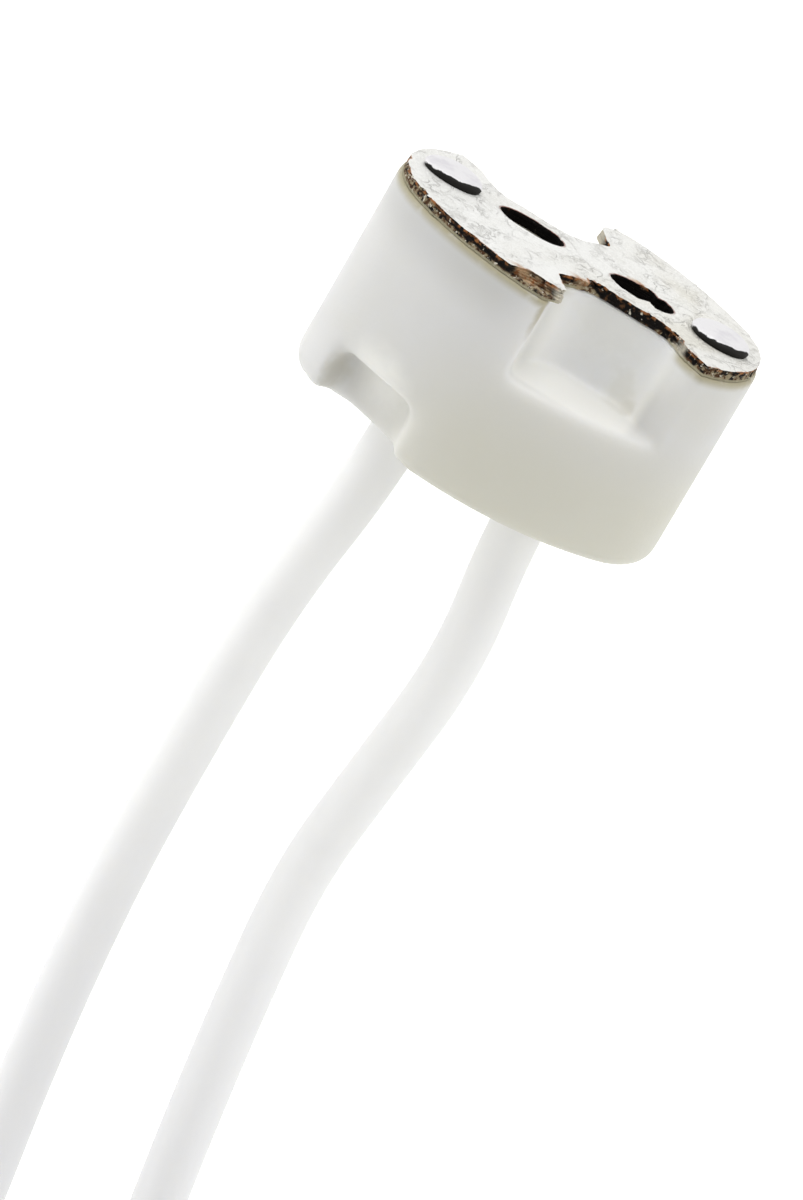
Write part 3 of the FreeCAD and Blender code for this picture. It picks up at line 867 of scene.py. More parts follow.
@dataclass(frozen=True)
class SiliconeFinish:
    """Soft white silicone rubber, a little translucent, with random dust, and painted shade that
    darkens it away from the holder.
    """

    white: Triple = (0.975, 0.975, 0.975)
    dusty: Triple = (0.92, 0.92, 0.925)
    handled: Triple = (0.86, 0.86, 0.875)
    dust: Cloud = Cloud(260.0, 0.4, 0.75)
    handled_down: Span = (-18.0, -46.0)
    grain: Grain = Grain(500.0, 3500.0, 0.3, 0.02)
    glow_depth: float = 1.5

    def material(self) -> Material:
        """Build the material.

        Returns:
            The material.
        """
        surface = Surface("silicone")
        board = surface.board
        # painted shade: darker further down the leads, away from the holder
        down = board.fade(board.axes(surface.place)["Z"], self.handled_down)
        surface.bump(surface.height(self.grain), self.grain.depth)
        return surface.finish(
            base_color=board.coats(
                self.white, (surface.mask(self.dust), self.dusty), (down, self.handled)
            ),
            roughness=0.48,
            subsurface_weight=0.5,
            subsurface_radius=(1.0, 0.97, 0.9),
            subsurface_scale=self.glow_depth * MM,
        )


# --------------------------------------------------------------------------- mesh helpers


def adopt(name: str, shape: Mesh, smooth: bool = False) -> Piece:
    """Turn a finished bmesh into a linked object at the origin.

    Args:
        name: the name of the new object and its mesh.
        shape: the bmesh, which is freed.
        smooth: whether all its faces are shaded smooth.

    Returns:
        The new object.
    """
    if smooth:
        for face in shape.faces:
            face.smooth = True
    mesh = bpy.data.meshes.new(name)
    shape.to_mesh(mesh)
    shape.free()
    return link(bpy.data.objects.new(name, mesh))


def link(piece: Piece) -> Piece:
    """Put an object into the scene."""
    bpy.context.scene.collection.objects.link(piece)
    return piece


def settle(piece: Piece, node: str) -> Piece:
    """Ride a piece on the part, and let it stand for a CAD node.

    Args:
        piece: the finished piece.
        node: the CAD node that it stands for.

    Returns:
        The same piece.
    """
    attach(piece, "root")
    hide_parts(node)
    return piece


def dress(piece: Piece, *materials: Material) -> None:
    """Give a piece its materials.

    Args:
        piece: the piece, which loses any that it has.
        *materials: the materials, in the order of its material indices.
    """
    slots = piece.data.materials
    if len(slots):
        slots.clear()
    for material in materials:
        slots.append(material)


def merged_copy(node: str) -> Mesh:
    """Copy a CAD node's mesh, and join its loose triangles.

    Args:
        node: the node's name.

    Returns:
        The closed copy.
    """
    shape = bmesh.new()
    shape.from_mesh(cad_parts[node].data)
    bmesh.ops.remove_doubles(shape, verts=shape.verts, dist=0.001 * MM)
    return shape


# --------------------------------------------------------------------------- ceramic body


@dataclass
class CeramicBody:
    """The steatite body, remade from its CAD node with the soft edges of a fired moulding.

    Its mesh is divided into voxels, softened in passes, and sunk unevenly by up to the sag.
    The front recess lies past the X, Y and Z given for it, and the rear one is the same,
    turned half round. The seat is the rim's uppermost stretch, brought back up to the plate.
    """

    voxel: float = 0.12
    passes: int = 14
    sag: float = 0.02
    sag_scale: float = 0.35
    recess: Triple = (-1.7, -1.5, -6.7)
    recess_passes: int = 55
    seat_depth: float = 0.4

    def build(self) -> Piece:
        """Build and dress the body.

        Returns:
            The body.
        """
        even = self._remeshed()
        self._soften(even, even.verts, self.passes)
        worn = [vertex for vertex in even.verts if self._in_recess(vertex.co)]
        self._soften(even, worn, self.recess_passes)
        even.normal_update()
        for vertex in even.verts:
            wave = noise.noise(vertex.co * self.sag_scale)
            vertex.co -= vertex.normal * self.sag * (0.5 + 0.5 * wave)
        self._square_seat(even)
        bmesh.ops.scale(even, vec=Vector((MM, MM, MM)), verts=even.verts)
        piece = adopt("ceramic_shell", even, smooth=True)
        dress(piece, SteatiteFinish().material())
        return settle(piece, "ceramic_body")

    def _remeshed(self) -> Mesh:
        """Divide the CAD node evenly.

        Returns:
            An even mesh, in millimetres.
        """
        shape = merged_copy("ceramic_body")
        bmesh.ops.scale(shape, vec=Vector((1, 1, 1)) / MM, verts=shape.verts)
        rough = adopt("ceramic_draft", shape)
        remesh = rough.modifiers.new("even", "REMESH")
        remesh.mode = "VOXEL"
        remesh.voxel_size = self.voxel
        graph = bpy.context.evaluated_depsgraph_get()
        even = bmesh.new()
        even.from_mesh(rough.evaluated_get(graph).data)
        bpy.data.objects.remove(rough)
        return even

    def _soften(self, even: Mesh, vertices: Sequence[bmesh.types.BMVert], passes: int) -> None:
        """Smooth some vertices of the mesh, pass by pass.

        Args:
            even: the mesh.
            vertices: the vertices.
            passes: how often each is moved halfway to the middle of its neighbours.
        """
        axes = {f"use_axis_{axis}": True for axis in "xyz"}
        for _ in range(passes):
            bmesh.ops.smooth_vert(even, verts=vertices, factor=0.5, **axes)

    def _in_recess(self, place: Vector) -> bool:
        """Tell whether a point lies in or beside one of the two worn recesses.

        Args:
            place: the point in millimetres.

        Returns:
            Whether it does.
        """
        side = 1 if place.y < 0 else -1
        x, y, z = self.recess
        return place.x * side < x and -abs(place.y) < y and place.z < z

    def _square_seat(self, even: Mesh) -> None:
        """Bring the softened upper rim back up to the plate that lies on it.

        Args:
            even: the softened mesh in millimetres.
        """
        top = max(vertex.co.z for vertex in even.verts)
        for vertex in even.verts:
            down = top - vertex.co.z
            if down < self.seat_depth:
                vertex.co.z = top - down * (down / self.seat_depth)


# --------------------------------------------------------------------------- mica plate


@dataclass(frozen=True)
class Break:
    """A piece broken from the plate's layers, from the top down: all that lies past every line.

    A line runs through a point at an angle in degrees from +X, and its right side is gone.
    The break keeps to the first line's side of the plate, front or back, and each layer
    further down reaches out by the terrace.
    """

    lines: tuple[Triple, ...]
    layers: int
    terrace: float


@dataclass(frozen=True)
class Nick:
    """A bite out of an edge: its middle, its reach and depth, and how many layers it takes.

    Where its depth is less than nothing, the edge bulges instead.
    """

    middle: Pair
    reach: float
    depth: float
    layers: int


@dataclass(frozen=True)
class Tremor:
    """One share of an unevenness: its noise's cells a millimetre in X and Y, weight and seed."""

    scale: Pair
    weight: float
    seed: float

    def at(self, place: Vector, shift: float = 0.0) -> float:
        """Its noise at a place in millimetres, with its seed shifted."""
        x, y = place.x * self.scale[0], place.y * self.scale[1]
        return noise.noise(Vector((x, y, self.seed + shift)))


@dataclass
class MicaPlate:
    """The cover plate, built up from torn layers over the outline of its CAD node.

    The edges are torn back by the wander, times a steady share and the tremors, less from
    layer to layer by the taper, and the nicks' bites are frayed by the last tremor. The slot
    values are for the pin openings: half their length, how far past it and across it their
    edges are looked for, how much their ends are pinched, and how far they drift. The upper
    face sinks by the ruffle, times its mean and the ripples.
    """

    layers: int = 6
    edge_step: float = 0.08
    face_step: float = 0.3
    face_passes: int = 6
    wander: float = 0.045
    steady: float = 0.9
    taper: float = 0.5
    tremors: tuple[Tremor, ...] = (
        Tremor((0.9, 0.9), 0.9, 0.0),
        Tremor((3.7, 3.7), 0.8, 5.0),
        Tremor((11.0, 11.0), 0.5, 9.0),
    )
    layer_seed: float = 11.7
    fray: float = 0.8
    gap: float = 0.004
    slot_half: float = 1.5
    slot_past: float = 1.15
    slot_reach: float = 1.0
    slot_pinch: float = 0.3
    slot_drift: Pair = (0.08, 0.14)
    rivet_reach: float = 1.0
    rim_width: float = 0.22
    same_height: float = 0.01
    ruffle: float = 0.015
    ruffle_mean: float = 0.5
    ripples: tuple[Tremor, ...] = (Tremor((1.6, 2.2), 0.35, 3.0), Tremor((5.0, 7.0), 0.35, 8.0))
    breaks: tuple[Break, ...] = (
        Break(((-1.83, -4.82, 35.0), (-0.8, -4.5, -3.0)), 4, 0.07),
        Break(((0.3, -4.42, 40.0), (1.0, -4.0, -90.0)), 3, 0.05),
        Break(((0.3, -4.25, 75.0), (0.2, -4.1, 0.0)), 3, 0.03),
        Break(((-0.13, 5.27, -135.0), (-0.1, 4.75, 180.0)), 6, 0.01),
    )
    nicks: tuple[Nick, ...] = (
        Nick((0.7, -1.9), 0.55, 0.16, 3),
        Nick((1.3, -1.6), 0.4, 0.12, 2),
        Nick((-0.45, 4.55), 0.3, 0.16, 6),
        Nick((2.75, 0.8), 0.5, 0.16, 4),
        Nick((3.1, -0.55), 0.4, -0.32, 3),
        Nick((3.3, 0.8), 0.3, -0.16, 4),
        Nick((0.28, -4.53), 0.4, 0.16, 6),
        Nick((3.6, -1.6), 0.5, 0.1, 2),
        Nick((4.9, -2.0), 0.6, 0.12, 3),
        Nick((-6.9, -3.0), 0.5, 0.1, 2),
        Nick((-4.3, -4.7), 0.5, 0.1, 2),
        Nick((0.4, 5.2), 0.5, 0.1, 2),
    )

    def build(self) -> Piece:
        """Build and dress the plate.

        Returns:
            The plate.
        """
        low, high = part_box("cover_plate")
        thickness = (high.z - low.z) / self.layers
        whole = bmesh.new()
        for index in range(self.layers):
            self._add_layer(whole, index, high.z - index * thickness, thickness - self.gap * MM)
        piece = adopt("mica_plate", whole)
        dress(piece, MicaFaceFinish().material(), MicaTornFinish().material())
        return settle(piece, "cover_plate")

    def _add_layer(self, whole: Mesh, index: int, top: float, thickness: float) -> None:
        """Tear one layer out of the plate's outline and add it to the whole.

        Args:
            whole: the bmesh of the whole plate.
            index: the layer's number, from the top.
            top: the height of its upper face.
            thickness: its thickness.
        """
        sheet = self._outline_sheet()
        for split in self.breaks:
            if index < split.layers:
                self._snap(sheet, split, index)
        self._divide_edges(sheet)
        self._shake(sheet, index)
        if index == 0:
            self._divide_faces(sheet)
        self._measure(sheet)
        upper = list(sheet.faces)
        made = bmesh.ops.extrude_face_region(sheet, geom=upper, use_keep_orig=True)
        moved = [item for item in made["geom"] if isinstance(item, bmesh.types.BMVert)]
        bmesh.ops.translate(sheet, verts=moved, vec=Vector((0, 0, -thickness)))
        for face in sheet.faces:
            face.material_index = Region.TORN.value
        for face in upper:
            face.material_index = Region.TORN.value if index else Region.FACE.value
        bmesh.ops.recalc_face_normals(sheet, faces=sheet.faces)
        bmesh.ops.translate(sheet, verts=sheet.verts, vec=Vector((0, 0, top)))
        if index == 0:
            self._ruffle(sheet, top)
        mesh = bpy.data.meshes.new("layer")
        sheet.to_mesh(mesh)
        sheet.free()
        whole.from_mesh(mesh)
        bpy.data.meshes.remove(mesh)

    def _outline_sheet(self) -> Mesh:
        """Take the upper face of the CAD node.

        Returns:
            The face, laid at height zero.
        """
        sheet = merged_copy("cover_plate")
        level = max(vertex.co.z for vertex in sheet.verts) - self.same_height * MM
        spare = [face for face in sheet.faces if min(v.co.z for v in face.verts) < level]
        bmesh.ops.delete(sheet, geom=spare, context="FACES")
        for vertex in sheet.verts:
            vertex.co.z = 0.0
        return sheet

    def _snap(self, sheet: Mesh, split: Break, index: int) -> None:
        """Break the sheet along a break's lines.

        Args:
            sheet: the layer's sheet.
            split: the break.
            index: the layer's number, from the top.
        """
        planes = []
        for x, y, degrees in split.lines:
            angle = math.radians(degrees)
            outwards = Vector((math.sin(angle), -math.cos(angle), 0))
            place = Vector((x, y, 0)) * MM + outwards * split.terrace * MM * index
            planes.append((place, outwards))
            geometry = list(sheet.verts) + list(sheet.edges) + list(sheet.faces)
            bmesh.ops.bisect_plane(sheet, geom=geometry, plane_co=place, plane_no=outwards)
        gone = []
        for face in sheet.faces:
            middle = face.calc_center_median()
            beside = middle.y * split.lines[0][1] > 0
            if beside and all((middle - place).dot(way) > 0 for place, way in planes):
                gone.append(face)
        bmesh.ops.delete(sheet, geom=gone, context="FACES")

    def _divide_edges(self, sheet: Mesh) -> None:
        """Divide the outline into short, even steps.

        Args:
            sheet: the layer's sheet.
        """
        by_cuts: dict[int, list[bmesh.types.BMEdge]] = {}
        for edge in sheet.edges:
            cuts = int(edge.calc_length() / (self.edge_step * MM))
            if edge.is_boundary and cuts:
                by_cuts.setdefault(cuts, []).append(edge)
        for cuts, edges in by_cuts.items():
            bmesh.ops.subdivide_edges(sheet, edges=edges, cuts=cuts)
        self._even_out(sheet)

    def _divide_faces(self, sheet: Mesh) -> None:
        """Divide the inner edges until none is long, so that the face can be ruffled.

        Args:
            sheet: the layer's sheet.
        """
        longest = self.face_step * MM
        for _ in range(self.face_passes):
            long = [e for e in sheet.edges if not e.is_boundary and e.calc_length() > longest]
            if not long:
                break
            bmesh.ops.subdivide_edges(sheet, edges=long, cuts=1)
            self._even_out(sheet)

    def _even_out(self, sheet: Mesh) -> None:
        """Cut the sheet's faces into triangles as even as they can be.

        Args:
            sheet: the layer's sheet.
        """
        bmesh.ops.triangulate(sheet, faces=sheet.faces)
        inner = [edge for edge in sheet.edges if not edge.is_boundary]
        bmesh.ops.beautify_fill(sheet, faces=sheet.faces, edges=inner, method="ANGLE")

    def _shake(self, sheet: Mesh, index: int) -> None:
        """Tear the outline: let it wander, bite the nicks, and pinch the pin openings.

        Args:
            sheet: the layer's sheet.
            index: the layer's number, from the top.
        """
        moves = {}
        for vertex in sheet.verts:
            if vertex.is_boundary:
                inwards = self._inwards(vertex)
                moves[vertex] = inwards * self._depth(vertex.co / MM, index) * MM
        for vertex, move in moves.items():
            vertex.co += move
            self._pinch(vertex)

    def _inwards(self, vertex: bmesh.types.BMVert) -> Vector:
        """Find the way from the outline into the sheet.

        Args:
            vertex: a vertex on the outline.

        Returns:
            The direction, one long.
        """
        inwards = Vector((0, 0, 0))
        for edge in vertex.link_edges:
            if edge.is_boundary:
                first, second = (end.co for end in edge.verts)
                along = (second - first).normalized()
                across = Vector((-along.y, along.x, 0))
                middle = edge.link_faces[0].calc_center_median()
                if (middle - (first + second) / 2).dot(across) < 0:
                    across.negate()
                inwards += across
        return inwards.normalized()

    def _depth(self, place: Vector, index: int) -> float:
        """Work out how far the edge is torn back.

        Args:
            place: a place on the edge in millimetres.
            index: the layer's number, from the top.

        Returns:
            The depth in millimetres.
        """
        layer = self.layer_seed * index
        torn = self.steady
        for tremor in self.tremors:
            torn += tremor.weight * tremor.at(place, layer)
        depth = max(self.wander * (1.0 - self.taper * index / self.layers) * torn, 0.0)
        frayed = 1.0 + self.fray * self.tremors[-1].at(place, layer)
        for nick in self.nicks:
            away = (place.xy - Vector(nick.middle)).length / nick.reach
            if index < nick.layers and away < 1:
                bite = (1 - away * away) * (1.0 - index / (nick.layers + 1))
                depth += nick.depth * bite * frayed
        return depth

    def _pinch(self, vertex: bmesh.types.BMVert) -> None:
        """Narrow the ends of a pin opening, and let it drift a little, as punching leaves it.

        Args:
            vertex: a vertex on the outline, left alone if it isn't at a pin opening.
        """
        if self._by_slot(vertex.co):
            along = (abs(vertex.co.x) / MM - PIN_PITCH / 2) / self.slot_half
            vertex.co.y *= 1 - self.slot_pinch * min(along * along, 1.0)
            vertex.co.x += self.slot_drift[0] * MM
            vertex.co.y += self.slot_drift[1] * MM

    def _by_slot(self, place: Vector) -> bool:
        """Whether a place on the plate lies within or just beside a pin opening."""
        along = (abs(place.x) / MM - PIN_PITCH / 2) / self.slot_half
        return abs(along) < self.slot_past and abs(place.y) < self.slot_reach * MM

    def _by_rivet(self, place: Vector) -> bool:
        """Whether a place on the plate lies at the edge of a rivet's hole."""
        return math.hypot(abs(place.x) - RIVET_PITCH / 2 * MM, place.y) < self.rivet_reach * MM

    def _measure(self, sheet: Mesh) -> None:
        """Store how near each vertex is to the outline, and whether it is at a pin opening.

        Args:
            sheet: the layer's sheet. Its rim is one on the outline and nothing past the
                rim's width, and its soot is one at the pin openings.
        """
        rim = sheet.verts.layers.float.new("rim")
        soot = sheet.verts.layers.float.new("soot")
        edge = [v for v in sheet.verts if v.is_boundary and not self._by_rivet(v.co)]
        tree = kdtree.KDTree(len(edge))
        for number, vertex in enumerate(edge):
            tree.insert(vertex.co, number)
        tree.balance()
        for vertex in sheet.verts:
            away = tree.find(vertex.co)[2] / (self.rim_width * MM)
            vertex[rim] = max(0.0, 1.0 - away)
            vertex[soot] = float(self._by_slot(vertex.co))

    def _ruffle(self, sheet: Mesh, top: float) -> None:
        """Let the uppermost face sink in faint waves and wrinkles.

        Args:
            sheet: the uppermost layer.
            top: the height of its upper face.
        """
        for vertex in sheet.verts:
            if vertex.co.z > top - self.same_height * MM:
                drop = self.ruffle_mean
                for ripple in self.ripples:
                    drop += ripple.weight * ripple.at(vertex.co / MM)
                vertex.co.z -= self.ruffle * MM * max(0.0, drop)


# --------------------------------------------------------------------------- rivets


@dataclass
class Rivet:
    """A semi-tubular rivet: a low head, a shank, and a hollow end rolled over.

    The front half of the head is squeezed, and a band along its front is painted black as a reflection
    of the dim surroundings. The dome gives shares of the head's radius with their drop in crowns, and
    the flank shares of the radius with shares of the head's height. Under the head, the outline runs
    from the lip to the shank at two heights above the plate. The roll and the bore give how far inside
    the rolled edge or the shank a point lies, and how high above the lower end. The band gives
    how wide it is at shares of the radius along X.
    """

    side: Side
    squeeze: float
    crown: float = 0.05
    shank: float = 0.7
    rolled: float = 0.98
    roll_height: float = 0.4
    hollow: float = 1.6
    seat: float = 0.001
    segments: int = 96
    dents: float = 2.5
    dent_depth: float = 0.02
    dent_seed: float = 4.0
    dented_above: float = 0.05
    dented_past: float = 0.3
    dome: tuple[Pair, ...] = (
        (0.0, 0.0), (0.3, 0.1), (0.5, 0.3), (0.62, 0.5), (0.75, 0.8),
        (0.86, 1.4), (0.93, 2.2), (0.975, 3.3), (1.0, 4.6),
    )
    flank: tuple[Pair, ...] = ((0.995, 0.3), (0.98, 0.15))
    lip: float = 0.96
    under: Pair = (0.004, 0.002)
    roll: tuple[Pair, ...] = ((0.06, 0.395), (0.0, 0.3), (0.02, 0.12), (0.14, 0.01), (0.36, 0.0))
    bore: tuple[Pair, ...] = ((0.22, 0.16), (0.27, 0.96))
    band: tuple[Pair, ...] = ((-1.0, 0.2), (-0.6, 0.34), (0.0, 0.48), (0.6, 0.58), (1.0, 0.52))
    band_lean: float = 0.15
    band_fade: float = 0.3
    band_end: float = 0.2

    @property
    def node(self) -> str:
        """The name of the rivet's CAD node."""
        return f"{self.side.word}_rivet"

    def profile(self, head: float) -> list[Pair]:
        """Draw the rivet's outline from the crown to the hollow.

        Args:
            head: the head's radius in millimetres.

        Returns:
            Radius and height of each point in millimetres.
        """
        low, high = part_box(self.node)
        top, bottom = high.z / MM, low.z / MM
        dome = [(head * share, top - self.crown * drop) for share, drop in self.dome]
        flank = [(head * share, top * height) for share, height in self.flank]
        under = [(head * self.lip, self.under[0]), (self.shank, self.under[1])]
        turn = [(self.shank, bottom + self.roll_height)]
        roll = [(self.rolled - inside, bottom + height) for inside, height in self.roll]
        bore = [(self.shank - inside, bottom + height) for inside, height in self.bore]
        return dome + flank + under + turn + roll + bore + [(0.0, bottom + self.hollow)]

    def build(self, material: Material) -> Piece:
        """Build and dress the rivet.

        Args:
            material: the rivets' material.

        Returns:
            The rivet.
        """
        low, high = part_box(self.node)
        head = (high.x - low.x) / 2
        axis = Vector(((low.x + high.x) / 2, 0, 0))
        shape = bmesh.new()
        points = [shape.verts.new((r * MM, 0, z * MM)) for r, z in self.profile(head / MM)]
        for first, second in zip(points, points[1:]):
            shape.edges.new((first, second))
        bmesh.ops.spin(
            shape, geom=list(shape.verts) + list(shape.edges), cent=(0, 0, 0), axis=(0, 0, 1),
            angle=2 * math.pi, steps=self.segments, use_merge=True,
        )
        bmesh.ops.remove_doubles(shape, verts=shape.verts, dist=0.002 * MM)
        bmesh.ops.recalc_face_normals(shape, faces=shape.faces)
        flank = shape.verts.layers.float.new("flank")
        for vertex in shape.verts:
            vertex[flank] = self._blackened(vertex.co, head)
            self._work(vertex, axis.x)
        bmesh.ops.translate(shape, verts=shape.verts, vec=axis)
        piece = adopt(f"{self.node}_head", shape, smooth=True)
        dress(piece, material)
        return settle(piece, self.node)

    def _work(self, vertex: bmesh.types.BMVert, seed: float) -> None:
        """Squeeze and dent the head at one vertex.

        Args:
            vertex: the vertex, placed from the rivet's axis.
            seed: the seed of the dents.
        """
        radius = vertex.co.xy.length
        turn = math.atan2(vertex.co.y, vertex.co.x)
        if vertex.co.z > self.seat * MM and vertex.co.y < 0:
            vertex.co.y *= self.squeeze
        ring = Vector((math.cos(turn), math.sin(turn), 0)) * self.dents
        ripple = noise.noise(ring + Vector((0, 0, self.dent_seed + seed)))
        if vertex.co.z > self.dented_above * MM and radius > self.dented_past * MM:
            vertex.co.z -= abs(ripple) * self.dent_depth * MM

    def _blackened(self, place: Vector, head: float) -> float:
        """Work out how far a point lies inside the painted reflection band on the head's front.

        Args:
            place: the point, from the rivet's axis.
            head: the head's radius.

        Returns:
            Its way below the band's upper limit in millimetres, measured down over the top
            and the flank, and less than zero outside it.
        """
        radius = place.xy.length
        if place.z < -self.seat * MM:
            return -1.0
        share = clamp(place.x / radius if radius else 0.0, -1.0)
        for (start, first), (end, last) in zip(self.band, self.band[1:]):
            if share <= end:
                upper = first + (last - first) * (share - start) / (end - start)
                break
        climb = (place.z + head - radius) / MM
        front = clamp((self.band_lean * radius - place.y) / (self.band_fade * head))
        return upper * front - climb - (0.0 if front else self.band_end)


# --------------------------------------------------------------------------- leads


LEFT_ROUTE = [
    (0.0, 0.0, -2.5),
    (-0.95, -0.15, -9.5),
    (-1.05, -0.1, -17.0),
    (-0.95, 0.2, -25.0),
    (-0.2, 0.5, -34.0),
    (1.3, 0.4, -44.5),
    (2.4, -0.5, -63.0),
    (1.4, -1.2, -84.5),
    (0.6, -0.3, -98.5),
]
RIGHT_ROUTE = [
    (0.0, 0.0, -2.0),
    (0.85, 0.1, -8.2),
    (0.1, 0.25, -15.0),
    (-0.4, 0.1, -20.0),
    (0.15, -0.35, -26.0),
    (1.1, -0.7, -33.5),
    (2.4, -0.3, -42.5),
    (3.3, 0.9, -57.5),
    (2.3, 1.4, -79.0),
    (1.3, 0.3, -96.5),
]


@dataclass
class Lead:
    """One silicone lead, from its socket in the body to its bare tinned end.

    Its route is counted from where it leaves the body's base. Its bare end has rings of
    strands, which turn once a pitch and start a little way inside the sleeve.
    """

    side: Side
    route: Sequence[Triple]
    length: float
    diameter: float = 2.35
    spacing: float = 6.2
    socket: float = 1.0
    strand: float = 0.19
    strands: Sequence[int] = (1, 6, 12)
    packing: float = 0.98
    pitch: float = 14.0
    bare: float = 6.0
    inside: float = 1.2
    steps: int = 18

    @property
    def leave(self) -> Vector:
        """The point where the lead leaves the body's base."""
        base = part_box("ceramic_body")[0].z
        return Vector((self.side.value * self.spacing / 2 * MM, 0, base))

    @property
    def points(self) -> list[Vector]:
        """The control points of the lead's line, from inside its socket to its cut end."""
        start = self.leave + Vector((0, 0, self.socket * MM))
        return [start] + [self.leave + Vector(step) * MM for step in self.route]

    def build(self, rubber: Material, tin: Material) -> list[Piece]:
        """Args:
            rubber: the sleeve's material.
            tin: the bare end's material.

        Returns:
            The sleeve and the bare end.
        """
        sleeve = self._build_sleeve(rubber)
        end = self._build_end(tin)
        return [sleeve, end]

    def _build_sleeve(self, material: Material) -> Piece:
        """Build the insulation as one smooth spline.

        Args:
            material: the sleeve's material.

        Returns:
            The sleeve.
        """
        name = f"{self.side.word}_sleeve"
        curve = bpy.data.curves.new(name, "CURVE")
        curve.dimensions = "3D"
        curve.bevel_depth = self.diameter / 2 * MM
        curve.bevel_resolution = 8
        curve.use_fill_caps = True
        curve.resolution_u = 16
        spline = curve.splines.new("NURBS")
        spline.points.add(len(self.points) - 1)
        for point, place in zip(spline.points, self.points):
            point.co = (*place, 1.0)
        spline.order_u = 3
        spline.use_endpoint_u = True
        spline.use_smooth = True
        curve.materials.append(material)
        sleeve = link(bpy.data.objects.new(name, curve))
        return settle(sleeve, f"{self.side.word}_lead_sleeve")

    def _build_end(self, material: Material) -> Piece:
        """Build the bare end: twisted strands, laid along the lead's last stretch.

        Args:
            material: the strands' material.

        Returns:
            The bare end.
        """
        shape = bmesh.new()
        for ring, count in enumerate(self.strands):
            radius = ring * self.strand * MM * self.packing
            for number in range(count):
                self._add_strand(shape, radius, 2 * math.pi * (number + 0.5 * ring) / count)
        before, end = self.points[-2:]
        along = (end - before).normalized()
        swing = Vector((0, 0, 1)).rotation_difference(along)
        place = Matrix.Translation(end - along * self.inside * MM) @ swing.to_matrix().to_4x4()
        bmesh.ops.transform(shape, matrix=place, verts=shape.verts)
        bmesh.ops.recalc_face_normals(shape, faces=shape.faces)
        for face in shape.faces:
            face.smooth = len(face.verts) == 4
        piece = adopt(f"{self.side.word}_strands", shape)
        dress(piece, material)
        return settle(piece, f"{self.side.word}_bare_end")

    def _add_strand(self, shape: Mesh, radius: float, turn: float) -> None:
        """Add one strand: a small circle carried along a helix, with its ends closed.

        Args:
            shape: the bmesh of all the strands.
            radius: the helix's radius in metres.
            turn: where on the helix the strand starts, in radians.
        """
        length = (self.bare + self.inside) * MM
        made = bmesh.ops.create_circle(
            shape, cap_ends=True, segments=8, radius=self.strand / 2 * MM
        )
        spot = Vector((radius * math.cos(turn), radius * math.sin(turn), 0))
        bmesh.ops.translate(shape, verts=made["verts"], vec=spot)
        bmesh.ops.spin(
            shape,
            geom=[made["verts"][0].link_faces[0]],
            cent=(0, 0, 0),
            axis=(0, 0, 1),
            dvec=Vector((0, 0, length / self.steps)),
            angle=2 * math.pi * length / (self.pitch * MM),
            steps=self.steps,
        )


# --------------------------------------------------------------------------- inner metal


@dataclass
class InnerMetal:
    """The contacts, springs and crimped conductors, which keep their CAD meshes."""

    tin: Material

    def build(self) -> list[Piece]:
        """Give each node its finish.

        Returns:
            The nodes.
        """
        worn = {
            "contact": NICKEL.material(),
            "backing_spring": SPRING_STEEL.material(),
            "conductor": self.tin,
        }
        done = []
        for name, material in worn.items():
            for side in Side:
                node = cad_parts[f"{side.word}_{name}"]
                dress(node, material)
                done.append(node)
        return done


# --------------------------------------------------------------------------- studio


@dataclass
class Viewpoint:
    """The camera: its bearing round the holder and its roll in degrees, its distance and aim."""

    azimuth: float = 3.22
    elevation: float = 22.156
    roll: float = 30.33
    distance: float = 429.83
    lens: float = 312.13
    aim: Triple = (0.892, -5.976, -14.776)
    nearest: float = 10.0
    farthest: float = 20000.0

    def build(self) -> None:
        """Add the camera and make it the scene's."""
        azimuth, elevation = math.radians(self.azimuth), math.radians(self.elevation)
        level = Vector((math.cos(azimuth), math.sin(azimuth), 0))
        ahead = Vector((-math.sin(azimuth), math.cos(azimuth), 0))
        forward = ahead * math.cos(elevation) - Vector((0, 0, math.sin(elevation)))
        upright = Matrix((level, level.cross(forward), -forward)).transposed()
        tilt = Quaternion(forward, math.radians(-self.roll)).to_matrix()
        data = bpy.data.cameras.new("camera")
        data.lens = self.lens
        data.clip_start = self.nearest * MM
        data.clip_end = self.farthest * MM
        camera = link(bpy.data.objects.new("camera", data))
        place = (Vector(self.aim) - forward * self.distance) * MM
        camera.matrix_world = Matrix.Translation(place) @ (tilt @ upright).to_4x4()
        bpy.context.scene.camera = camera


@dataclass(frozen=True)
class Softbox:
    """One square area light, aimed at the holder: its place and size in metres, and watts."""

    name: str
    place: Triple
    size: float
    power: float

    def build(self) -> None:
        """Add the light."""
        data = bpy.data.lights.new(self.name, "AREA")
        data.size = self.size
        data.energy = self.power
        lamp = link(bpy.data.objects.new(self.name, data))
        lamp.location = self.place
        lamp.rotation_mode = "QUATERNION"
        lamp.rotation_quaternion = (-Vector(self.place)).to_track_quat("-Z", "Y")


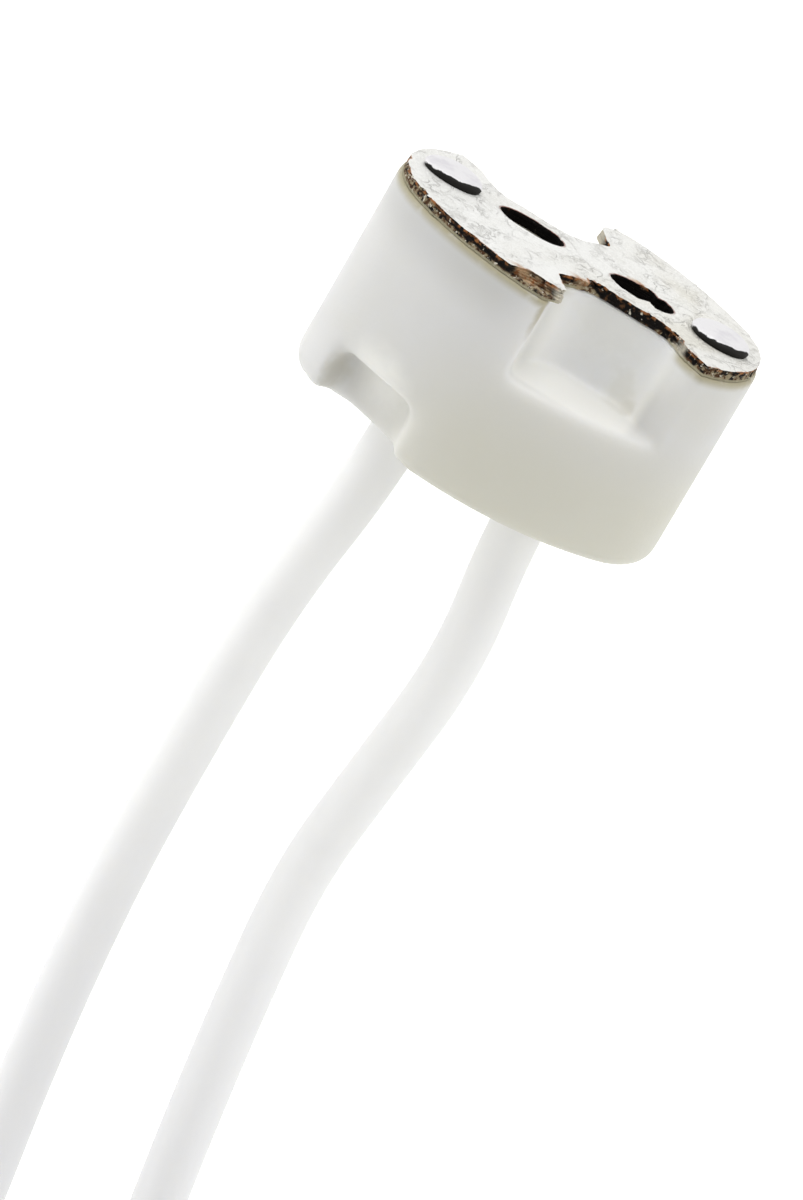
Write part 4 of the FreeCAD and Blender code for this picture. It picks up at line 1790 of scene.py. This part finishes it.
@dataclass
class Studio:
    """A pale floor and a white backdrop under soft light, dimmer from the way that dims."""

    drop: float = 10.0
    half_width: float = 3000.0
    floor_tint: Triple = (0.76, 0.76, 0.735)
    floor_glow: float = 0.6
    ambient: float = 0.83
    dip: float = 0.5
    dim_way: Triple = (0.05, -0.92, 0.38)
    dim_span: Span = (0.2, 1.0)
    lamps: tuple[Softbox, ...] = (
        Softbox("overhead", (0.0, -0.35, 1.05), 0.7, 4.4),
        Softbox("left", (-1.0, -0.1, 0.3), 0.8, 3.5),
        Softbox("right", (1.0, -0.05, 0.3), 0.8, 1.8),
    )

    def build(self) -> None:
        """Add the floor, the world and the lamps."""
        self._add_floor()
        self._light_world()
        for lamp in self.lamps:
            lamp.build()
        bpy.context.scene.view_settings.view_transform = "Standard"

    def _add_floor(self) -> None:
        """Lay the floor below the leads' ends."""
        shape = bmesh.new()
        bmesh.ops.create_grid(shape, x_segments=2, y_segments=2, size=self.half_width * MM)
        height = CAD_BOX[0].z - self.drop * MM
        bmesh.ops.translate(shape, verts=shape.verts, vec=Vector((0, 0, height)))
        floor = adopt("floor", shape)
        surface = Surface("pale_floor")
        surface.finish(
            base_color=self.floor_tint,
            roughness=1.0,
            specular_ior_level=0.0,
            emission_color=WHITE,
            emission_strength=surface.board.product(surface.board.seen_plainly(), self.floor_glow),
        )
        dress(floor, surface.material)

    def _light_world(self) -> None:
        """Light the holder evenly, and show white behind it."""
        world = bpy.data.worlds.new("white_world")
        world.use_nodes = True
        bpy.context.scene.world = world
        board = NodeBoard(world.node_tree)
        way = board.add("TexCoord").outputs["Generated"]
        facing = board.vector("DOT_PRODUCT", way, self.dim_way)
        dimmed = self.ambient * (1.0 - self.dip)
        level = board.ramp(facing, *self.dim_span, (self.ambient, dimmed))
        strength = board.scaled(board.seen_plainly(), board.rest(level), level)
        board.feed(world.node_tree.nodes["Background"], strength=strength, color=WHITE)


# --------------------------------------------------------------------------- the whole


def main() -> None:
    """Build every piece in order, and report each."""
    logging.basicConfig(level=logging.INFO, format="%(name)s: %(message)s")
    Viewpoint().build()
    rubber = SiliconeFinish().material()
    tin = TINNED.material()
    pieces = Lead(Side.LEFT, LEFT_ROUTE, length=99.8).build(rubber, tin)
    pieces += Lead(Side.RIGHT, RIGHT_ROUTE, length=97.9).build(rubber, tin)
    pieces += [CeramicBody().build(), MicaPlate().build()]
    plating = RivetFinish().material()
    for side, squeeze in ((Side.LEFT, 0.6), (Side.RIGHT, 0.74)):
        pieces.append(Rivet(side, squeeze).build(plating))
    pieces += InnerMetal(tin).build()
    Studio().build()
    for piece in pieces:
        log.info("%s is built", piece.name)


if __name__ == "__main__":
    main()
